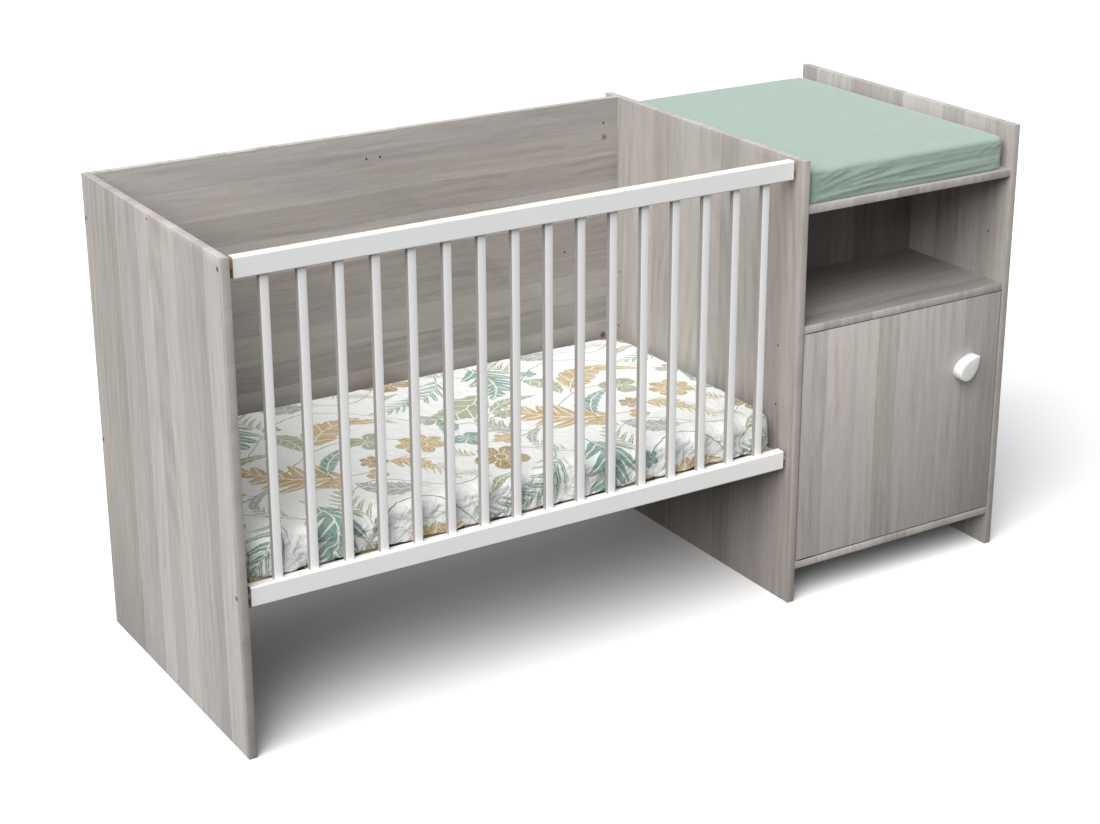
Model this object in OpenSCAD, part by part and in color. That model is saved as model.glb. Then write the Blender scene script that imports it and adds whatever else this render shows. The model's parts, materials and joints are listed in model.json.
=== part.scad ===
// Crib with an attached changer: a slatted crib on the left shares its right-hand
// divider with a changing unit that holds a pad, an open niche and a small cabinet.
// Millimetres. X runs along the length, the front faces -Y, Z is up, the floor is Z = 0.

/* [Overall] */
// Height of the three upright panels
panel_h = 960; // [800:10:1160]
// Depth of the divider and of the changer's right panel
changer_d = 712; // [590:2:860]
// Thickness of every laminated board
board_t = 16; // [15:1:20]

/* [Crib] */
// Clear length between the left panel and the divider
crib_inner_l = 1212; // [1000:2:1460]
// Distance from the changer's front edge back to the crib's front edge
crib_front_set = 17; // [5:1:30]
// Distance from the changer's back edge forward to the crib's back face
crib_back_set = 35; // [0:1:60]
// Height of the crib's back panel above the floor
back_panel_z = 325; // [200:5:400]

/* [Gate] */
// Thickness of the two rails, front to back
rail_t = 22; // [20:1:28]
// Height of each rail
rail_h = 39.5; // [32:0.5:48]
// Radius along the long edges of the rails
rail_r = 3; // [1:0.5:6]
// Distance from the top of the panels down to the top rail
rail_drop = 2.5; // [0:0.5:20]
// Height of the bottom rail above the floor
bottom_rail_z = 301; // [250:1:362]
// Distance from the crib's front edge back to the rails
rail_set = 5; // [0:0.5:10]
// Free space between a rail's end and the panel beside it
rail_end_gap = 8; // [4:0.5:12]
// Number of upright slats
slat_count = 16; // [14:1:17]
// Width of a slat
slat_w = 18; // [15:0.5:22]
// Depth of a slat, front to back
slat_t = 12; // [10:0.5:14]
// Radius of a slat's bowed front
slat_front_r = 16; // [12:0.5:40]
// Distance from a panel to the middle of the first slat
slat_margin = 67.5; // [50:0.5:75]
// Depth of a slat's end in its mortise
slat_tenon = 10; // [6:0.5:14]

/* [Bed base] */
// Height of the lowest row of base holes
base_hole_z = 302; // [270:1:360]
// Distance between the rows of base holes
base_hole_step = 128; // [64:32:128]
// Thickness of the two base rails
base_rail_t = 18; // [16:1:22]
// Height of the two base rails
base_rail_h = 46; // [40:1:60]
// Distance from the front of a base rail to the gate's rails
base_front_gap = 11; // [8:1:20]
// Free space between the back base rail and the back panel
base_back_gap = 1; // [0.5:0.5:4]
// Number of base slats
base_slat_count = 11; // [8:1:12]
// Width of a base slat
base_slat_w = 60; // [50:1:70]
// Thickness of a base slat
base_slat_t = 12; // [10:1:15]

/* [Mattress] */
// Thickness of the mattress at its edge, sheet included
mattress_t = 69.7; // [50:0.1:110]
// Height that the mattress's middle rises above its edge
mattress_crown = 6; // [0:0.5:12]
// Free space at each end of the mattress
mattress_end_gap = 6; // [3:0.5:15]
// Free space at each long side of the mattress
mattress_side_gap = 8.5; // [4:0.5:15]
// Thickness of the fitted sheet
sheet_t = 1.5; // [1:0.1:3]

/* [Changer] */
// Clear width between the divider and the right panel
changer_inner_w = 540; // [450:2:650]
// Distance from the top of the panels down to the changing surface
top_drop = 95; // [80:1:120]
// Distance that the boards and the door sit back from the front edges
front_reveal = 2; // [0:0.5:10]
// Depth of the two shelves in front of the back partition
shelf_d = 303; // [250:1:370]
// Height of the open niche
niche_h = 236; // [150:2:290]
// Height of the bottom shelf above the floor
plinth_h = 74; // [50:1:100]

/* [Changing pad] */
// Thickness of the pad at its edge, cover included
pad_t = 71.7; // [50:0.1:90]
// Height that the pad's middle rises above its edge
pad_crown = 1.5; // [0:0.5:8]
// Free space between the pad and the divider
pad_left_gap = 8; // [3:0.5:20]
// Free space between the pad and the right panel
pad_right_gap = 12; // [3:0.5:20]
// Free space between the pad and each end of the changing surface
pad_end_gap = 10; // [3:0.5:20]
// Thickness of the towelling cover
cover_t = 2; // [1:0.1:3]

/* [Door] */
// Gap between the door and the panels beside it
door_side_gap = 3; // [2.6:0.1:5]
// Gap above the door
door_top_gap = 2; // [2:0.1:4]
// Gap below the door
door_bottom_gap = 3; // [2:0.1:4]
// Distance from the door's left edge to the hinge axis
hinge_in = 5; // [5:0.5:8]
// Distance from the door's front face to the hinge axis
hinge_back = 5; // [4.5:0.5:5]
// Diameter of the hinge pins
hinge_pin_d = 5; // [4:0.5:5]
// Radial running clearance of the hinge pins
pin_clear = 0.06; // [0.02:0.01:0.1]
// Length of a hinge leaf
leaf_l = 50; // [40:1:70]
// Width of a hinge leaf
leaf_w = 8; // [8:0.5:9]
// Thickness of a hinge leaf
leaf_t = 2.5; // [2:0.1:3]

/* [Knob] */
// Radius of the knob's round end
knob_r = 20.6; // [15:0.1:26]
// Distance from the middle of the round end to the knob's tip
knob_reach = 46.7; // [36:0.1:58]
// Projection of the knob in front of the door
knob_d = 26; // [18:0.5:34]
// Angle of the knob's tip above the horizontal
knob_tilt = 45; // [0:1:90]
// Distance from the door's right edge to the middle of the round end
knob_from_edge = 102.7; // [60:0.1:140]
// Distance from the door's top edge to the middle of the round end
knob_from_top = 158.4; // [80:0.1:220]

/* [Fittings] */
// Distance from a board's end to the middle of a cam lock
cam_in = 36; // [30:1:40]
// Diameter of a cam lock
cam_d = 15; // [12:1:15]
// Diameter of a dowel
dowel_d = 8; // [6:1:8]
// Length of a dowel
dowel_l = 30; // [25:1:35]
// Length of the long panel screws
screw_l = 50; // [45:1:60]

/* [Hidden] */
$fn = 64;
// Amount by which a cut runs past a face
eps = 0.5;
// Clearance between a part and the pocket that it is let into
fit_gap = 0.15;
// Space left between a soft piece and what it lies on
rest_gap = 0.3;

crib_d = changer_d - crib_front_set - crib_back_set;
divider_x = board_t + crib_inner_l;
right_x = divider_x + board_t + changer_inner_w;
total_l = right_x + board_t;
crib_back_y = crib_front_set + crib_d;
back_panel_y = crib_back_y - board_t;
knob_front_y = front_reveal - knob_d;
mid_y = (knob_front_y + changer_d) / 2;

rail_y = crib_front_set + rail_set;
rail_l = crib_inner_l - 2 * rail_end_gap;
top_rail_z = panel_h - rail_drop - rail_h;
slat_back_wall = 1.5;
slat_y = rail_y + rail_t - slat_back_wall - slat_t;
slat_step = (crib_inner_l - 2 * slat_margin) / (slat_count - 1);

base_rail_z = base_hole_z - 18;
base_front_y = rail_y + rail_t + base_front_gap;
base_back_y = back_panel_y - base_back_gap - base_rail_t;
base_end_gap = 1;
base_top_z = base_rail_z + base_rail_h + base_slat_t;
base_depth = base_back_y + base_rail_t - base_front_y;
base_slat_step = (crib_inner_l - base_slat_w - 40) / (base_slat_count - 1);

mattress_l = crib_inner_l - 2 * mattress_end_gap;
mattress_w = back_panel_y - rail_y - rail_t - 2 * mattress_side_gap;
mattress_z = base_top_z + rest_gap;

unit_x = divider_x + board_t;
top_board_z = panel_h - top_drop - board_t;
top_board_d = changer_d - front_reveal;
shelf_z = top_board_z - niche_h - board_t;
partition_y = front_reveal + shelf_d;
partition_h = top_board_z - plinth_h;

pad_w = changer_inner_w - pad_left_gap - pad_right_gap;
pad_l = top_board_d - 2 * pad_end_gap;
pad_z = top_board_z + board_t + rest_gap;

door_x = unit_x + door_side_gap;
door_w = changer_inner_w - 2 * door_side_gap;
door_z = plinth_h + board_t + door_bottom_gap;
door_h = shelf_z - door_top_gap - door_z;
door_y = front_reveal;
hinge_x = door_x + hinge_in;
hinge_y = door_y + hinge_back;
knob_x = door_x + door_w - knob_from_edge;
knob_z = door_z + door_h - knob_from_top;
knob_screw_shift = 6;
knob_screw_x = knob_x + knob_screw_shift * cos(knob_tilt);
knob_screw_z = knob_z + knob_screw_shift * sin(knob_tilt);

// Sizes of the fittings
cam_below = 4.5;
cam_clear = 0.1;
bolt_stub_d = 4.8;
bolt_stub_hole_d = 5;
bolt_stub_l = 11;
bolt_shaft_d = 7;
bolt_shaft_hole_d = 7.5;
bolt_neck_d = 4;
bolt_head_d = 6.4;
drill_over = 0.5;
screw_head_d = 9;
screw_head_h = 2.8;
screw_shank_d = 6;
screw_clear = 0.2;
small_screw_d = 3.4;
small_head_d = 6;
small_head_h = 1.6;
slat_screw_l = 30;
knob_screw_d = 4;
knob_screw_head_d = 8;
knob_screw_head_h = 2.4;
knob_screw_grip = 10;
spare_hole_d = 5;
spare_hole_l = 10;
spacer_d = 16;
catch_l = 46;
catch_d = 14;
catch_h = 14;
catch_from_edge = 25;
strike_l = 40;
strike_h = 12;
strike_t = 1.5;
catch_air = 0.3;

function two_digits(i) = i < 10 ? str("0", i) : str(i);
function slat_name(i) = str("gate_slat_", two_digits(i));
function base_slat_name(i) = str("base_slat_", two_digits(i));

board_colour = "#b8b2ac";
back_colour = "#a8a39d";
paint_colour = "#f2f2f2";
raw_wood_colour = "#c8a878";
steel_colour = "#b9bcbf";
plastic_colour = "#dcdcda";
sheet_colour = "#eef0ee";
pad_colour = "#a9c3b5";
foam_colour = "#e9e4d2";

// Where a board's end meets a panel: a point in the middle of the board's end face,
// the direction into the board and the direction of the face that the cam opens on.
function right_of(x, y, z, face) = [[x, y, z], [1, 0, 0], face];
function left_of(x, y, z, face) = [[x, y, z], [-1, 0, 0], face];
function both_ends(x0, x1, spots, face) = concat(
    [for (s = spots) right_of(x0, s[0], s[1], face)],
    [for (s = spots) left_of(x1, s[0], s[1], face)]
);

down = [0, 0, -1];
back = [0, 1, 0];
front = [0, -1, 0];

// Crib back panel: screwed to the left panel, cam locked to the divider
back_mid_y = back_panel_y + board_t / 2;
back_screw_zs = [back_panel_z + 85, panel_h - 88];
back_cam_zs = [back_panel_z + 87, panel_h - 86];
back_dowel_zs = [back_panel_z + 187, panel_h - 186];
back_cams = [for (z = back_cam_zs) left_of(divider_x, back_mid_y, z, front)];
back_dowels = both_ends(board_t, divider_x, [for (z = back_dowel_zs) [back_mid_y, z]], front);

// Bed base: one cam lock at each end of both rails
base_front_mid = base_front_y + base_rail_t / 2;
base_back_mid = base_back_y + base_rail_t / 2;
base_front_cams = both_ends(board_t, divider_x, [[base_front_mid, base_hole_z]], back);
base_back_cams = both_ends(board_t, divider_x, [[base_back_mid, base_hole_z]], front);

// Changer boards: cam locks near the corners and dowels between them
edge_in = 58;
top_mid_z = top_board_z + board_t / 2;
top_far_y = changer_d - edge_in;
top_cams = both_ends(unit_x, right_x, [[edge_in, top_mid_z], [top_far_y, top_mid_z]], down);
top_dowel_ys = [edge_in + 50, top_far_y - 50];
top_dowels = both_ends(unit_x, right_x, [for (y = top_dowel_ys) [y, top_mid_z]], down);
shelf_far_y = partition_y - edge_in;
shelf_mid_y = front_reveal + shelf_d / 2;
function shelf_cams(z) = both_ends(unit_x, right_x, [[edge_in, z], [shelf_far_y, z]], down);
function shelf_dowels(z) = both_ends(unit_x, right_x, [[shelf_mid_y, z]], down);
middle_mid_z = shelf_z + board_t / 2;
bottom_mid_z = plinth_h + board_t / 2;
partition_mid_y = partition_y + board_t / 2;
partition_cam_zs = [plinth_h + 80, top_board_z - 80];
partition_cams = both_ends(unit_x, right_x, [for (z = partition_cam_zs) [partition_mid_y, z]], back);
partition_mid_z = plinth_h + partition_h / 2;
partition_dowels = both_ends(unit_x, right_x, [[partition_mid_y, partition_mid_z]], back);

board_cams = concat(
    back_cams, top_cams, shelf_cams(middle_mid_z), shelf_cams(bottom_mid_z), partition_cams
);
base_cams = concat(base_front_cams, base_back_cams);
all_dowels = concat(
    back_dowels, top_dowels, shelf_dowels(middle_mid_z), shelf_dowels(bottom_mid_z),
    partition_dowels
);

// Long panel screws: the head's point and the direction in which the screw goes
gate_screw_y = rail_y + rail_t / 2;
gate_screw_zs = [bottom_rail_z + rail_h / 2, top_rail_z + rail_h / 2];
gate_left_screws = [for (z = gate_screw_zs) [[0, gate_screw_y, z], [1, 0, 0]]];
gate_right_screws = [for (z = gate_screw_zs) [[unit_x, gate_screw_y, z], [-1, 0, 0]]];
back_screws = [for (z = back_screw_zs) [[0, back_mid_y, z], [1, 0, 0]]];
all_screws = concat(gate_left_screws, gate_right_screws, back_screws);

// Small holes that the panels carry besides
base_hole_zs = [for (k = [1:2]) base_hole_z + k * base_hole_step];
base_hole_ys = [base_front_mid, base_back_mid];

// Moves the model from the panel corner to the middle of its footprint
module placed() {
    translate([-total_l / 2, -mid_y, 0]) children();
}

// Lays a fitting's own x along a direction and its z along a face's normal
module at_joint(j) {
    x = j[1];
    z = j[2];
    y = cross(z, x);
    multmatrix([
        [x[0], y[0], z[0], j[0][0]],
        [x[1], y[1], z[1], j[0][1]],
        [x[2], y[2], z[2], j[0][2]],
        [0, 0, 0, 1]
    ]) children();
}

// A rod along x from x0 to x1
module rod(d, x0, x1) {
    translate([x0, 0, 0]) rotate([0, 90, 0]) cylinder(d = d, h = x1 - x0);
}

// ---- Cam locks, bolts, dowels and screws ----

module cam_holes(joints, thickness) {
    for (j = joints) at_joint(j) {
        rod(bolt_shaft_hole_d, -eps, cam_in);
        translate([cam_in, 0, -cam_below])
            cylinder(d = cam_d + 2 * cam_clear, h = thickness / 2 + cam_below + eps);
    }
}

module stub_holes(joints) {
    for (j = joints) at_joint(j) rod(bolt_stub_hole_d, -bolt_stub_l - drill_over, eps);
}

module dowel_holes(joints) {
    for (j = joints) at_joint(j)
        rod(dowel_d + 2 * fit_gap, -dowel_l / 3 - drill_over, dowel_l * 2 / 3 + drill_over);
}

module cam_lock(thickness) {
    recess_l = cam_d * 0.55;
    recess_w = 1.8;
    recess_h = 3;
    top = thickness / 2 - cam_clear;
    bottom = 2 * cam_clear - cam_below;
    difference() {
        translate([cam_in, 0, bottom]) cylinder(d = cam_d, h = top - bottom);
        rod(bolt_shaft_d + 0.5, cam_in - cam_d, cam_in + 3);
        for (turn = [0, 90])
            translate([cam_in, 0, top])
                rotate([0, 0, turn])
                    cube([recess_l, recess_w, 2 * recess_h], center = true);
    }
}

module cam_bolt() {
    shaft_end = cam_in - cam_d / 2 - 1;
    neck_end = cam_in - 3;
    head_end = cam_in + 2;
    rod(bolt_stub_d, -bolt_stub_l, 0);
    rod(bolt_shaft_d, 0, shaft_end);
    rod(bolt_neck_d, shaft_end - eps, neck_end + eps);
    rod(bolt_head_d, neck_end, head_end);
}

module screw_holes(screws) {
    for (s = screws) at_joint([s[0], s[1], down]) {
        rod(screw_head_d + 2 * screw_clear, -eps, screw_head_h + screw_clear);
        rod(screw_shank_d + 2 * fit_gap, 0, screw_l + drill_over);
    }
}

module panel_screw() {
    socket_d = 4;
    socket_h = 2;
    difference() {
        union() {
            rod(screw_head_d, screw_clear, screw_head_h);
            rod(screw_shank_d, screw_head_h - eps, screw_l);
        }
        translate([screw_clear - eps, 0, 0])
            rotate([0, 90, 0]) cylinder(d = socket_d, h = socket_h + eps, $fn = 6);
    }
}

// Countersunk screw with its head's face at the origin, pointing along -z
module small_screw(length) {
    translate([0, 0, -small_head_h]) cylinder(d1 = small_screw_d, d2 = small_head_d, h = small_head_h);
    translate([0, 0, -length]) cylinder(d = small_screw_d, h = length - small_head_h + 0.1);
}

module small_screw_hole(length) {
    gap = 2 * fit_gap;
    translate([0, 0, -small_head_h - fit_gap])
        cylinder(d1 = small_screw_d + gap, d2 = small_head_d + gap, h = small_head_h + fit_gap);
    translate([0, 0, -length - drill_over]) cylinder(d = small_screw_d + gap, h = length + drill_over);
    cylinder(d = small_head_d + gap, h = eps);
}

// ---- Upright panels ----

module base_spare_holes(x, into) {
    for (y = base_hole_ys)
        for (z = base_hole_zs)
            at_joint([[x, y, z], [into, 0, 0], down]) rod(spare_hole_d, -spare_hole_l, eps);
}

module left_end_panel() {
    mark_y = crib_front_set + crib_d / 2;
    mark_zs = [spare_hole_d / 2 + 8.5, panel_h - spare_hole_d / 2 - 8.5];
    color(board_colour) placed() difference() {
        translate([0, crib_front_set, 0]) cube([board_t, crib_d, panel_h]);
        screw_holes(gate_left_screws);
        screw_holes(back_screws);
        stub_holes([base_front_cams[0], base_back_cams[0]]);
        dowel_holes([for (j = back_dowels) if (j[1][0] > 0) j]);
        base_spare_holes(board_t, 1);
        for (z = mark_zs)
            translate([0, mark_y, z]) rod(spare_hole_d, -eps, spare_hole_l);
    }
}

module divider_panel() {
    left_dowels = [for (j = back_dowels) if (j[1][0] < 0) j];
    right_dowels = [for (j = all_dowels) if (j[0][0] == unit_x) j];
    right_cams = [for (j = board_cams) if (j[0][0] == unit_x) j];
    color(board_colour) placed() difference() {
        translate([divider_x, 0, 0]) cube([board_t, changer_d, panel_h]);
        screw_holes(gate_right_screws);
        stub_holes(back_cams);
        stub_holes([base_front_cams[1], base_back_cams[1]]);
        stub_holes(right_cams);
        dowel_holes(left_dowels);
        dowel_holes(right_dowels);
        base_spare_holes(divider_x, -1);
    }
}

module changer_right_panel() {
    niche_hole_up = 103;
    niche_hole_y = 57;
    cams = [for (j = board_cams) if (j[0][0] == right_x) j];
    dowels = [for (j = all_dowels) if (j[0][0] == right_x) j];
    color(board_colour) placed() difference() {
        translate([right_x, 0, 0]) cube([board_t, changer_d, panel_h]);
        stub_holes(cams);
        dowel_holes(dowels);
        translate([right_x, niche_hole_y, shelf_z + board_t + niche_hole_up])
            rod(spare_hole_d, -eps, spare_hole_l);
    }
}

module crib_back_panel() {
    // Small holes in the inner face: distance left of the divider, distance below the top
    marks = [[38, 54], [139, 335], [591, 54], [623, 54]];
    color(back_colour) placed() difference() {
        translate([board_t, back_panel_y, back_panel_z])
            cube([crib_inner_l, board_t, panel_h - back_panel_z]);
        cam_holes(back_cams, board_t);
        dowel_holes(back_dowels);
        screw_holes(back_screws);
        for (m = marks)
            translate([divider_x - m[0], back_panel_y - eps, panel_h - m[1]])
                rotate([-90, 0, 0]) cylinder(d = spare_hole_d, h = spare_hole_l + eps);
    }
}

// ---- Gate ----

module rounded_bar(depth, height, r) {
    translate([r, 0]) square([depth - 2 * r, height]);
    translate([0, r]) square([depth, height - 2 * r]);
    for (y = [r, depth - r])
        for (z = [r, height - r])
            translate([y, z]) circle(r = r);
}

// Cross-section of a slat, seen from above, grown by a clearance all round
module slat_section(grow) {
    intersection() {
        translate([-slat_w / 2 - grow, -grow]) square([slat_w + 2 * grow, slat_t + 2 * grow]);
        translate([0, slat_front_r]) circle(r = slat_front_r + grow);
    }
}

module slat_at(i, z, length, grow) {
    x = board_t + slat_margin + (i - 1) * slat_step;
    translate([x, slat_y, z]) linear_extrude(length) slat_section(grow);
}

module gate_rail(z, mortise_z) {
    difference() {
        translate([board_t + rail_end_gap, rail_y, z])
            rotate([90, 0, 90]) linear_extrude(rail_l) rounded_bar(rail_t, rail_h, rail_r);
        for (i = [1:slat_count])
            slat_at(i, mortise_z, slat_tenon + drill_over + eps, fit_gap);
        screw_holes(gate_left_screws);
        screw_holes(gate_right_screws);
    }
}

module gate_top_rail() {
    color(paint_colour) placed() gate_rail(top_rail_z, top_rail_z - eps);
}

module gate_bottom_rail() {
    mortise_z = bottom_rail_z + rail_h - slat_tenon - drill_over;
    color(paint_colour) placed() gate_rail(bottom_rail_z, mortise_z);
}

module gate_slat(i) {
    z = bottom_rail_z + rail_h - slat_tenon;
    color(paint_colour) placed()
        slat_at(i, z, top_rail_z + slat_tenon - z, 0);
}

module gate_spacers() {
    x0s = [board_t, divider_x - rail_end_gap];
    color(plastic_colour) placed()
        for (x = x0s)
            for (z = gate_screw_zs)
                translate([x, gate_screw_y, z])
                    difference() {
                        rod(spacer_d, 0, rail_end_gap);
                        rod(screw_shank_d + 2 * fit_gap, -eps, rail_end_gap + eps);
                    }
}

// ---- Bed base ----

function base_slat_x(i) = board_t + 20 + (i - 1) * base_slat_step;
slat_screw_spots = [
    for (i = [1:base_slat_count])
        for (y = base_hole_ys)
            [base_slat_x(i) + base_slat_w / 2, y, base_top_z]
];

module base_rail(y, cams) {
    difference() {
        translate([board_t + base_end_gap, y, base_rail_z])
            cube([crib_inner_l - 2 * base_end_gap, base_rail_t, base_rail_h]);
        cam_holes(cams, base_rail_t);
        for (s = slat_screw_spots)
            if (s[1] > y && s[1] < y + base_rail_t)
                translate(s) small_screw_hole(slat_screw_l);
    }
}

module base_front_rail() {
    color(raw_wood_colour) placed() base_rail(base_front_y, base_front_cams);
}

module base_back_rail() {
    color(raw_wood_colour) placed() base_rail(base_back_y, base_back_cams);
}

module base_slat(i) {
    color(raw_wood_colour) placed() difference() {
        translate([base_slat_x(i), base_front_y, base_top_z - base_slat_t])
            cube([base_slat_w, base_depth, base_slat_t]);
        for (y = base_hole_ys)
            translate([base_slat_x(i) + base_slat_w / 2, y, base_top_z])
                small_screw_hole(slat_screw_l);
    }
}

module base_slat_screws() {
    color(steel_colour) placed()
        for (s = slat_screw_spots) translate(s) small_screw(slat_screw_l);
}

// ---- Soft pieces ----
// Each is a stack of rings. A ring is a rectangle with round corners whose sides are
// drawn in towards their middles; rings shrink and rise to make the edges and the crown.

corner_steps = 5;
long_steps = 8;
short_steps = 5;
hem_w = 70;

function corner_point(l, w, r, k, a) = [
    (k == 0 || k == 3 ? 1 : -1) * (l / 2 - r) + r * cos(a),
    (k < 2 ? 1 : -1) * (w / 2 - r) + r * sin(a)
];

function side_points(l, w, r, k, draw) =
    let (
        a = 90 * (k + 1),
        p = corner_point(l, w, r, k, a),
        q = corner_point(l, w, r, (k + 1) % 4, a),
        n = k % 2 == 0 ? long_steps : short_steps
    )
    [for (j = [1:n - 1]) p + (q - p) * j / n - draw * sin(180 * j / n) * [cos(a), sin(a)]];

function ring(l, w, r, draw) = [
    for (k = [0:3])
        each concat(
            [for (i = [0:corner_steps])
                corner_point(l, w, r, k, 90 * k + 90 * i / corner_steps)],
            side_points(l, w, r, k, draw)
        )
];

// One ring at a level: how far it is in from the edge, its height and its draw-in
function level_ring(l, w, r, inset, z, draw) =
    [for (p = ring(l - 2 * inset, w - 2 * inset, max(r - inset, 1), draw)) [p[0], p[1], z]];

low_steps = 2;
high_steps = 4;
crown_shares = [0.2, 0.45, 0.75, 1];
crown_reach = 0.9;

// A ring on a quarter-round edge of radius e, at step i of n from the upright side; up is
// 1 on the upper edge and -1 on the lower one
function edge_ring(l, w, r, e, z, i, n, up, draw) =
    level_ring(l, w, r, e * (1 - cos(90 * i / n)), z + up * e * sin(90 * i / n), draw * (n - i) / n);

// A ring on the crown, at a share of the way from the edge to the middle
function crown_ring(l, w, r, e, h, crown, s) =
    level_ring(l, w, r, e + s * (w / 2 - e) * crown_reach, h + crown * (1 - pow(1 - s, 2)), 0);

// Rings from the underside, out round the lower edge, up the side, over the upper edge
// and in across the crown
function cushion_rings(l, w, h, r, e, crown, draw) = concat(
    [level_ring(l, w, r, hem_w, 0, 0)],
    [for (i = [low_steps:-1:0]) edge_ring(l, w, r, e / 2, e / 2, i, low_steps, -1, draw)],
    [for (i = [0:high_steps]) edge_ring(l, w, r, e, h - e, i, high_steps, 1, draw)],
    [for (s = crown_shares) crown_ring(l, w, r, e, h, crown, s)]
);

// A closed solid over a list of rings, with a fan of triangles at each end
module ring_solid(rings) {
    n = len(rings[0]);
    m = len(rings);
    points = concat(
        [for (one = rings) each one],
        [[0, 0, rings[0][0][2]], [0, 0, rings[m - 1][0][2]]]
    );
    sides = [
        for (k = [0:m - 2])
            for (i = [0:n - 1])
                let (a = k * n + i, b = k * n + (i + 1) % n, c = a + n, d = b + n)
                each [[a, c, b], [b, c, d]]
    ];
    first = [for (i = [0:n - 1]) [m * n, i, (i + 1) % n]];
    last = [for (i = [0:n - 1]) [m * n + 1, (m - 1) * n + (i + 1) % n, (m - 1) * n + i]];
    polyhedron(points = points, faces = concat(sides, first, last), convexity = 6);
}

function reversed(list) = [for (i = [len(list) - 1:-1:0]) list[i]];

function raised(rings, dz) = [for (one = rings) [for (p = one) p + [0, 0, dz]]];

// A skin over a cushion, with its hem under the cushion's edge: the inner surface from
// the top's middle down to the hem, then the outer surface back up
module cushion_skin(l, w, h, r, e, crown, draw, t) {
    inner = cushion_rings(l - 2 * t, w - 2 * t, h - 2 * t, r, e, crown, draw);
    outer = cushion_rings(l, w, h, r, e, crown, draw);
    ring_solid(concat(reversed(raised(inner, t)), outer));
}

mattress_corner_r = 30;
mattress_edge_r = 22;
mattress_draw = 2;
pad_corner_r = 14;
pad_edge_r = 8;
pad_draw = 1.5;
skin_air = 0.3;

module at_mattress() {
    mattress_y = rail_y + rail_t + mattress_side_gap + mattress_w / 2;
    translate([board_t + crib_inner_l / 2, mattress_y, mattress_z]) children();
}

module mattress_core() {
    in = sheet_t + skin_air;
    color(foam_colour) placed() at_mattress() translate([0, 0, in])
        ring_solid(cushion_rings(mattress_l - 2 * in, mattress_w - 2 * in, mattress_t - 2 * in,
            mattress_corner_r, mattress_edge_r, mattress_crown, mattress_draw));
}

module fitted_sheet() {
    color(sheet_colour) placed() at_mattress()
        cushion_skin(mattress_l, mattress_w, mattress_t, mattress_corner_r, mattress_edge_r,
            mattress_crown, mattress_draw, sheet_t);
}

// The pad's own length runs along Y, so its rings are turned
module at_pad() {
    translate([unit_x + pad_left_gap + pad_w / 2, front_reveal + top_board_d / 2, pad_z])
        rotate([0, 0, 90]) children();
}

module pad_core() {
    in = cover_t + skin_air;
    color(foam_colour) placed() at_pad() translate([0, 0, in])
        ring_solid(cushion_rings(pad_l - 2 * in, pad_w - 2 * in, pad_t - 2 * in,
            pad_corner_r, pad_edge_r, pad_crown, pad_draw));
}

module pad_cover() {
    color(pad_colour) placed() at_pad()
        cushion_skin(pad_l, pad_w, pad_t, pad_corner_r, pad_edge_r, pad_crown, pad_draw, cover_t);
}

// ---- Changer boards ----

module changer_top_board() {
    color(board_colour) placed() difference() {
        translate([unit_x, front_reveal, top_board_z]) cube([changer_inner_w, top_board_d, board_t]);
        cam_holes(top_cams, board_t);
        dowel_holes(top_dowels);
    }
}

module changer_shelf(z) {
    mid_z = z + board_t / 2;
    difference() {
        translate([unit_x, front_reveal, z]) cube([changer_inner_w, shelf_d, board_t]);
        cam_holes(shelf_cams(mid_z), board_t);
        dowel_holes(shelf_dowels(mid_z));
    }
}

module changer_middle_shelf() {
    color(board_colour) placed() difference() {
        changer_shelf(shelf_z);
        at_shelf_face(1) leaf_pocket(frame_leaf_screw_l);
        at_catch_screws() small_screw_hole(catch_screw_l);
    }
}

module changer_bottom_shelf() {
    color(board_colour) placed() difference() {
        changer_shelf(plinth_h);
        at_shelf_face(0) leaf_pocket(frame_leaf_screw_l);
    }
}

module changer_partition() {
    color(back_colour) placed() difference() {
        translate([unit_x, partition_y, plinth_h]) cube([changer_inner_w, board_t, partition_h]);
        cam_holes(partition_cams, board_t);
        dowel_holes(partition_dowels);
    }
}

// ---- Shared fittings, grouped by kind ----

module cam_locks() {
    color(steel_colour) placed() {
        for (j = board_cams) at_joint(j) cam_lock(board_t);
        for (j = base_cams) at_joint(j) cam_lock(base_rail_t);
    }
}

module cam_bolts() {
    color(steel_colour) placed()
        for (j = concat(board_cams, base_cams)) at_joint(j) cam_bolt();
}

module wood_dowels() {
    color(raw_wood_colour) placed()
        for (j = all_dowels) at_joint(j) rod(dowel_d, -dowel_l / 3, dowel_l * 2 / 3);
}

module panel_screws() {
    color(steel_colour) placed()
        for (s = all_screws) at_joint([s[0], s[1], down]) panel_screw();
}

// ---- Door and its fittings ----
// A hinge is two flat leaves, one let into the door's edge and one into the shelf. Each
// leaf is drawn with the pin's axis at the origin, its face at z = 0 and z pointing out
// of the board that holds it. Side 0 is the bottom of the door and side 1 its top.

leaf_screw_xs = [18, 38];
boss_air = 0.1;
door_leaf_screw_l = 16;
frame_leaf_screw_l = 11;
door_gaps = [door_bottom_gap, door_top_gap];

module at_door_edge(side) {
    translate([hinge_x, hinge_y, door_z + side * door_h])
        mirror([0, 0, 1 - side]) children();
}

module at_shelf_face(side) {
    translate([hinge_x, hinge_y, side == 0 ? plinth_h + board_t : shelf_z])
        mirror([0, 0, side]) children();
}

module leaf_outline(grow) {
    translate([0, -leaf_w / 2 - grow]) square([leaf_l + grow, leaf_w + 2 * grow]);
    circle(d = leaf_w + 2 * grow);
}

module at_leaf_screws() {
    for (x = leaf_screw_xs) translate([x, 0, 0]) children();
}

module leaf_pocket(screw_length) {
    translate([0, 0, -leaf_t - fit_gap]) linear_extrude(leaf_t + fit_gap + eps) leaf_outline(fit_gap);
    at_leaf_screws() small_screw_hole(screw_length);
}

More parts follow.
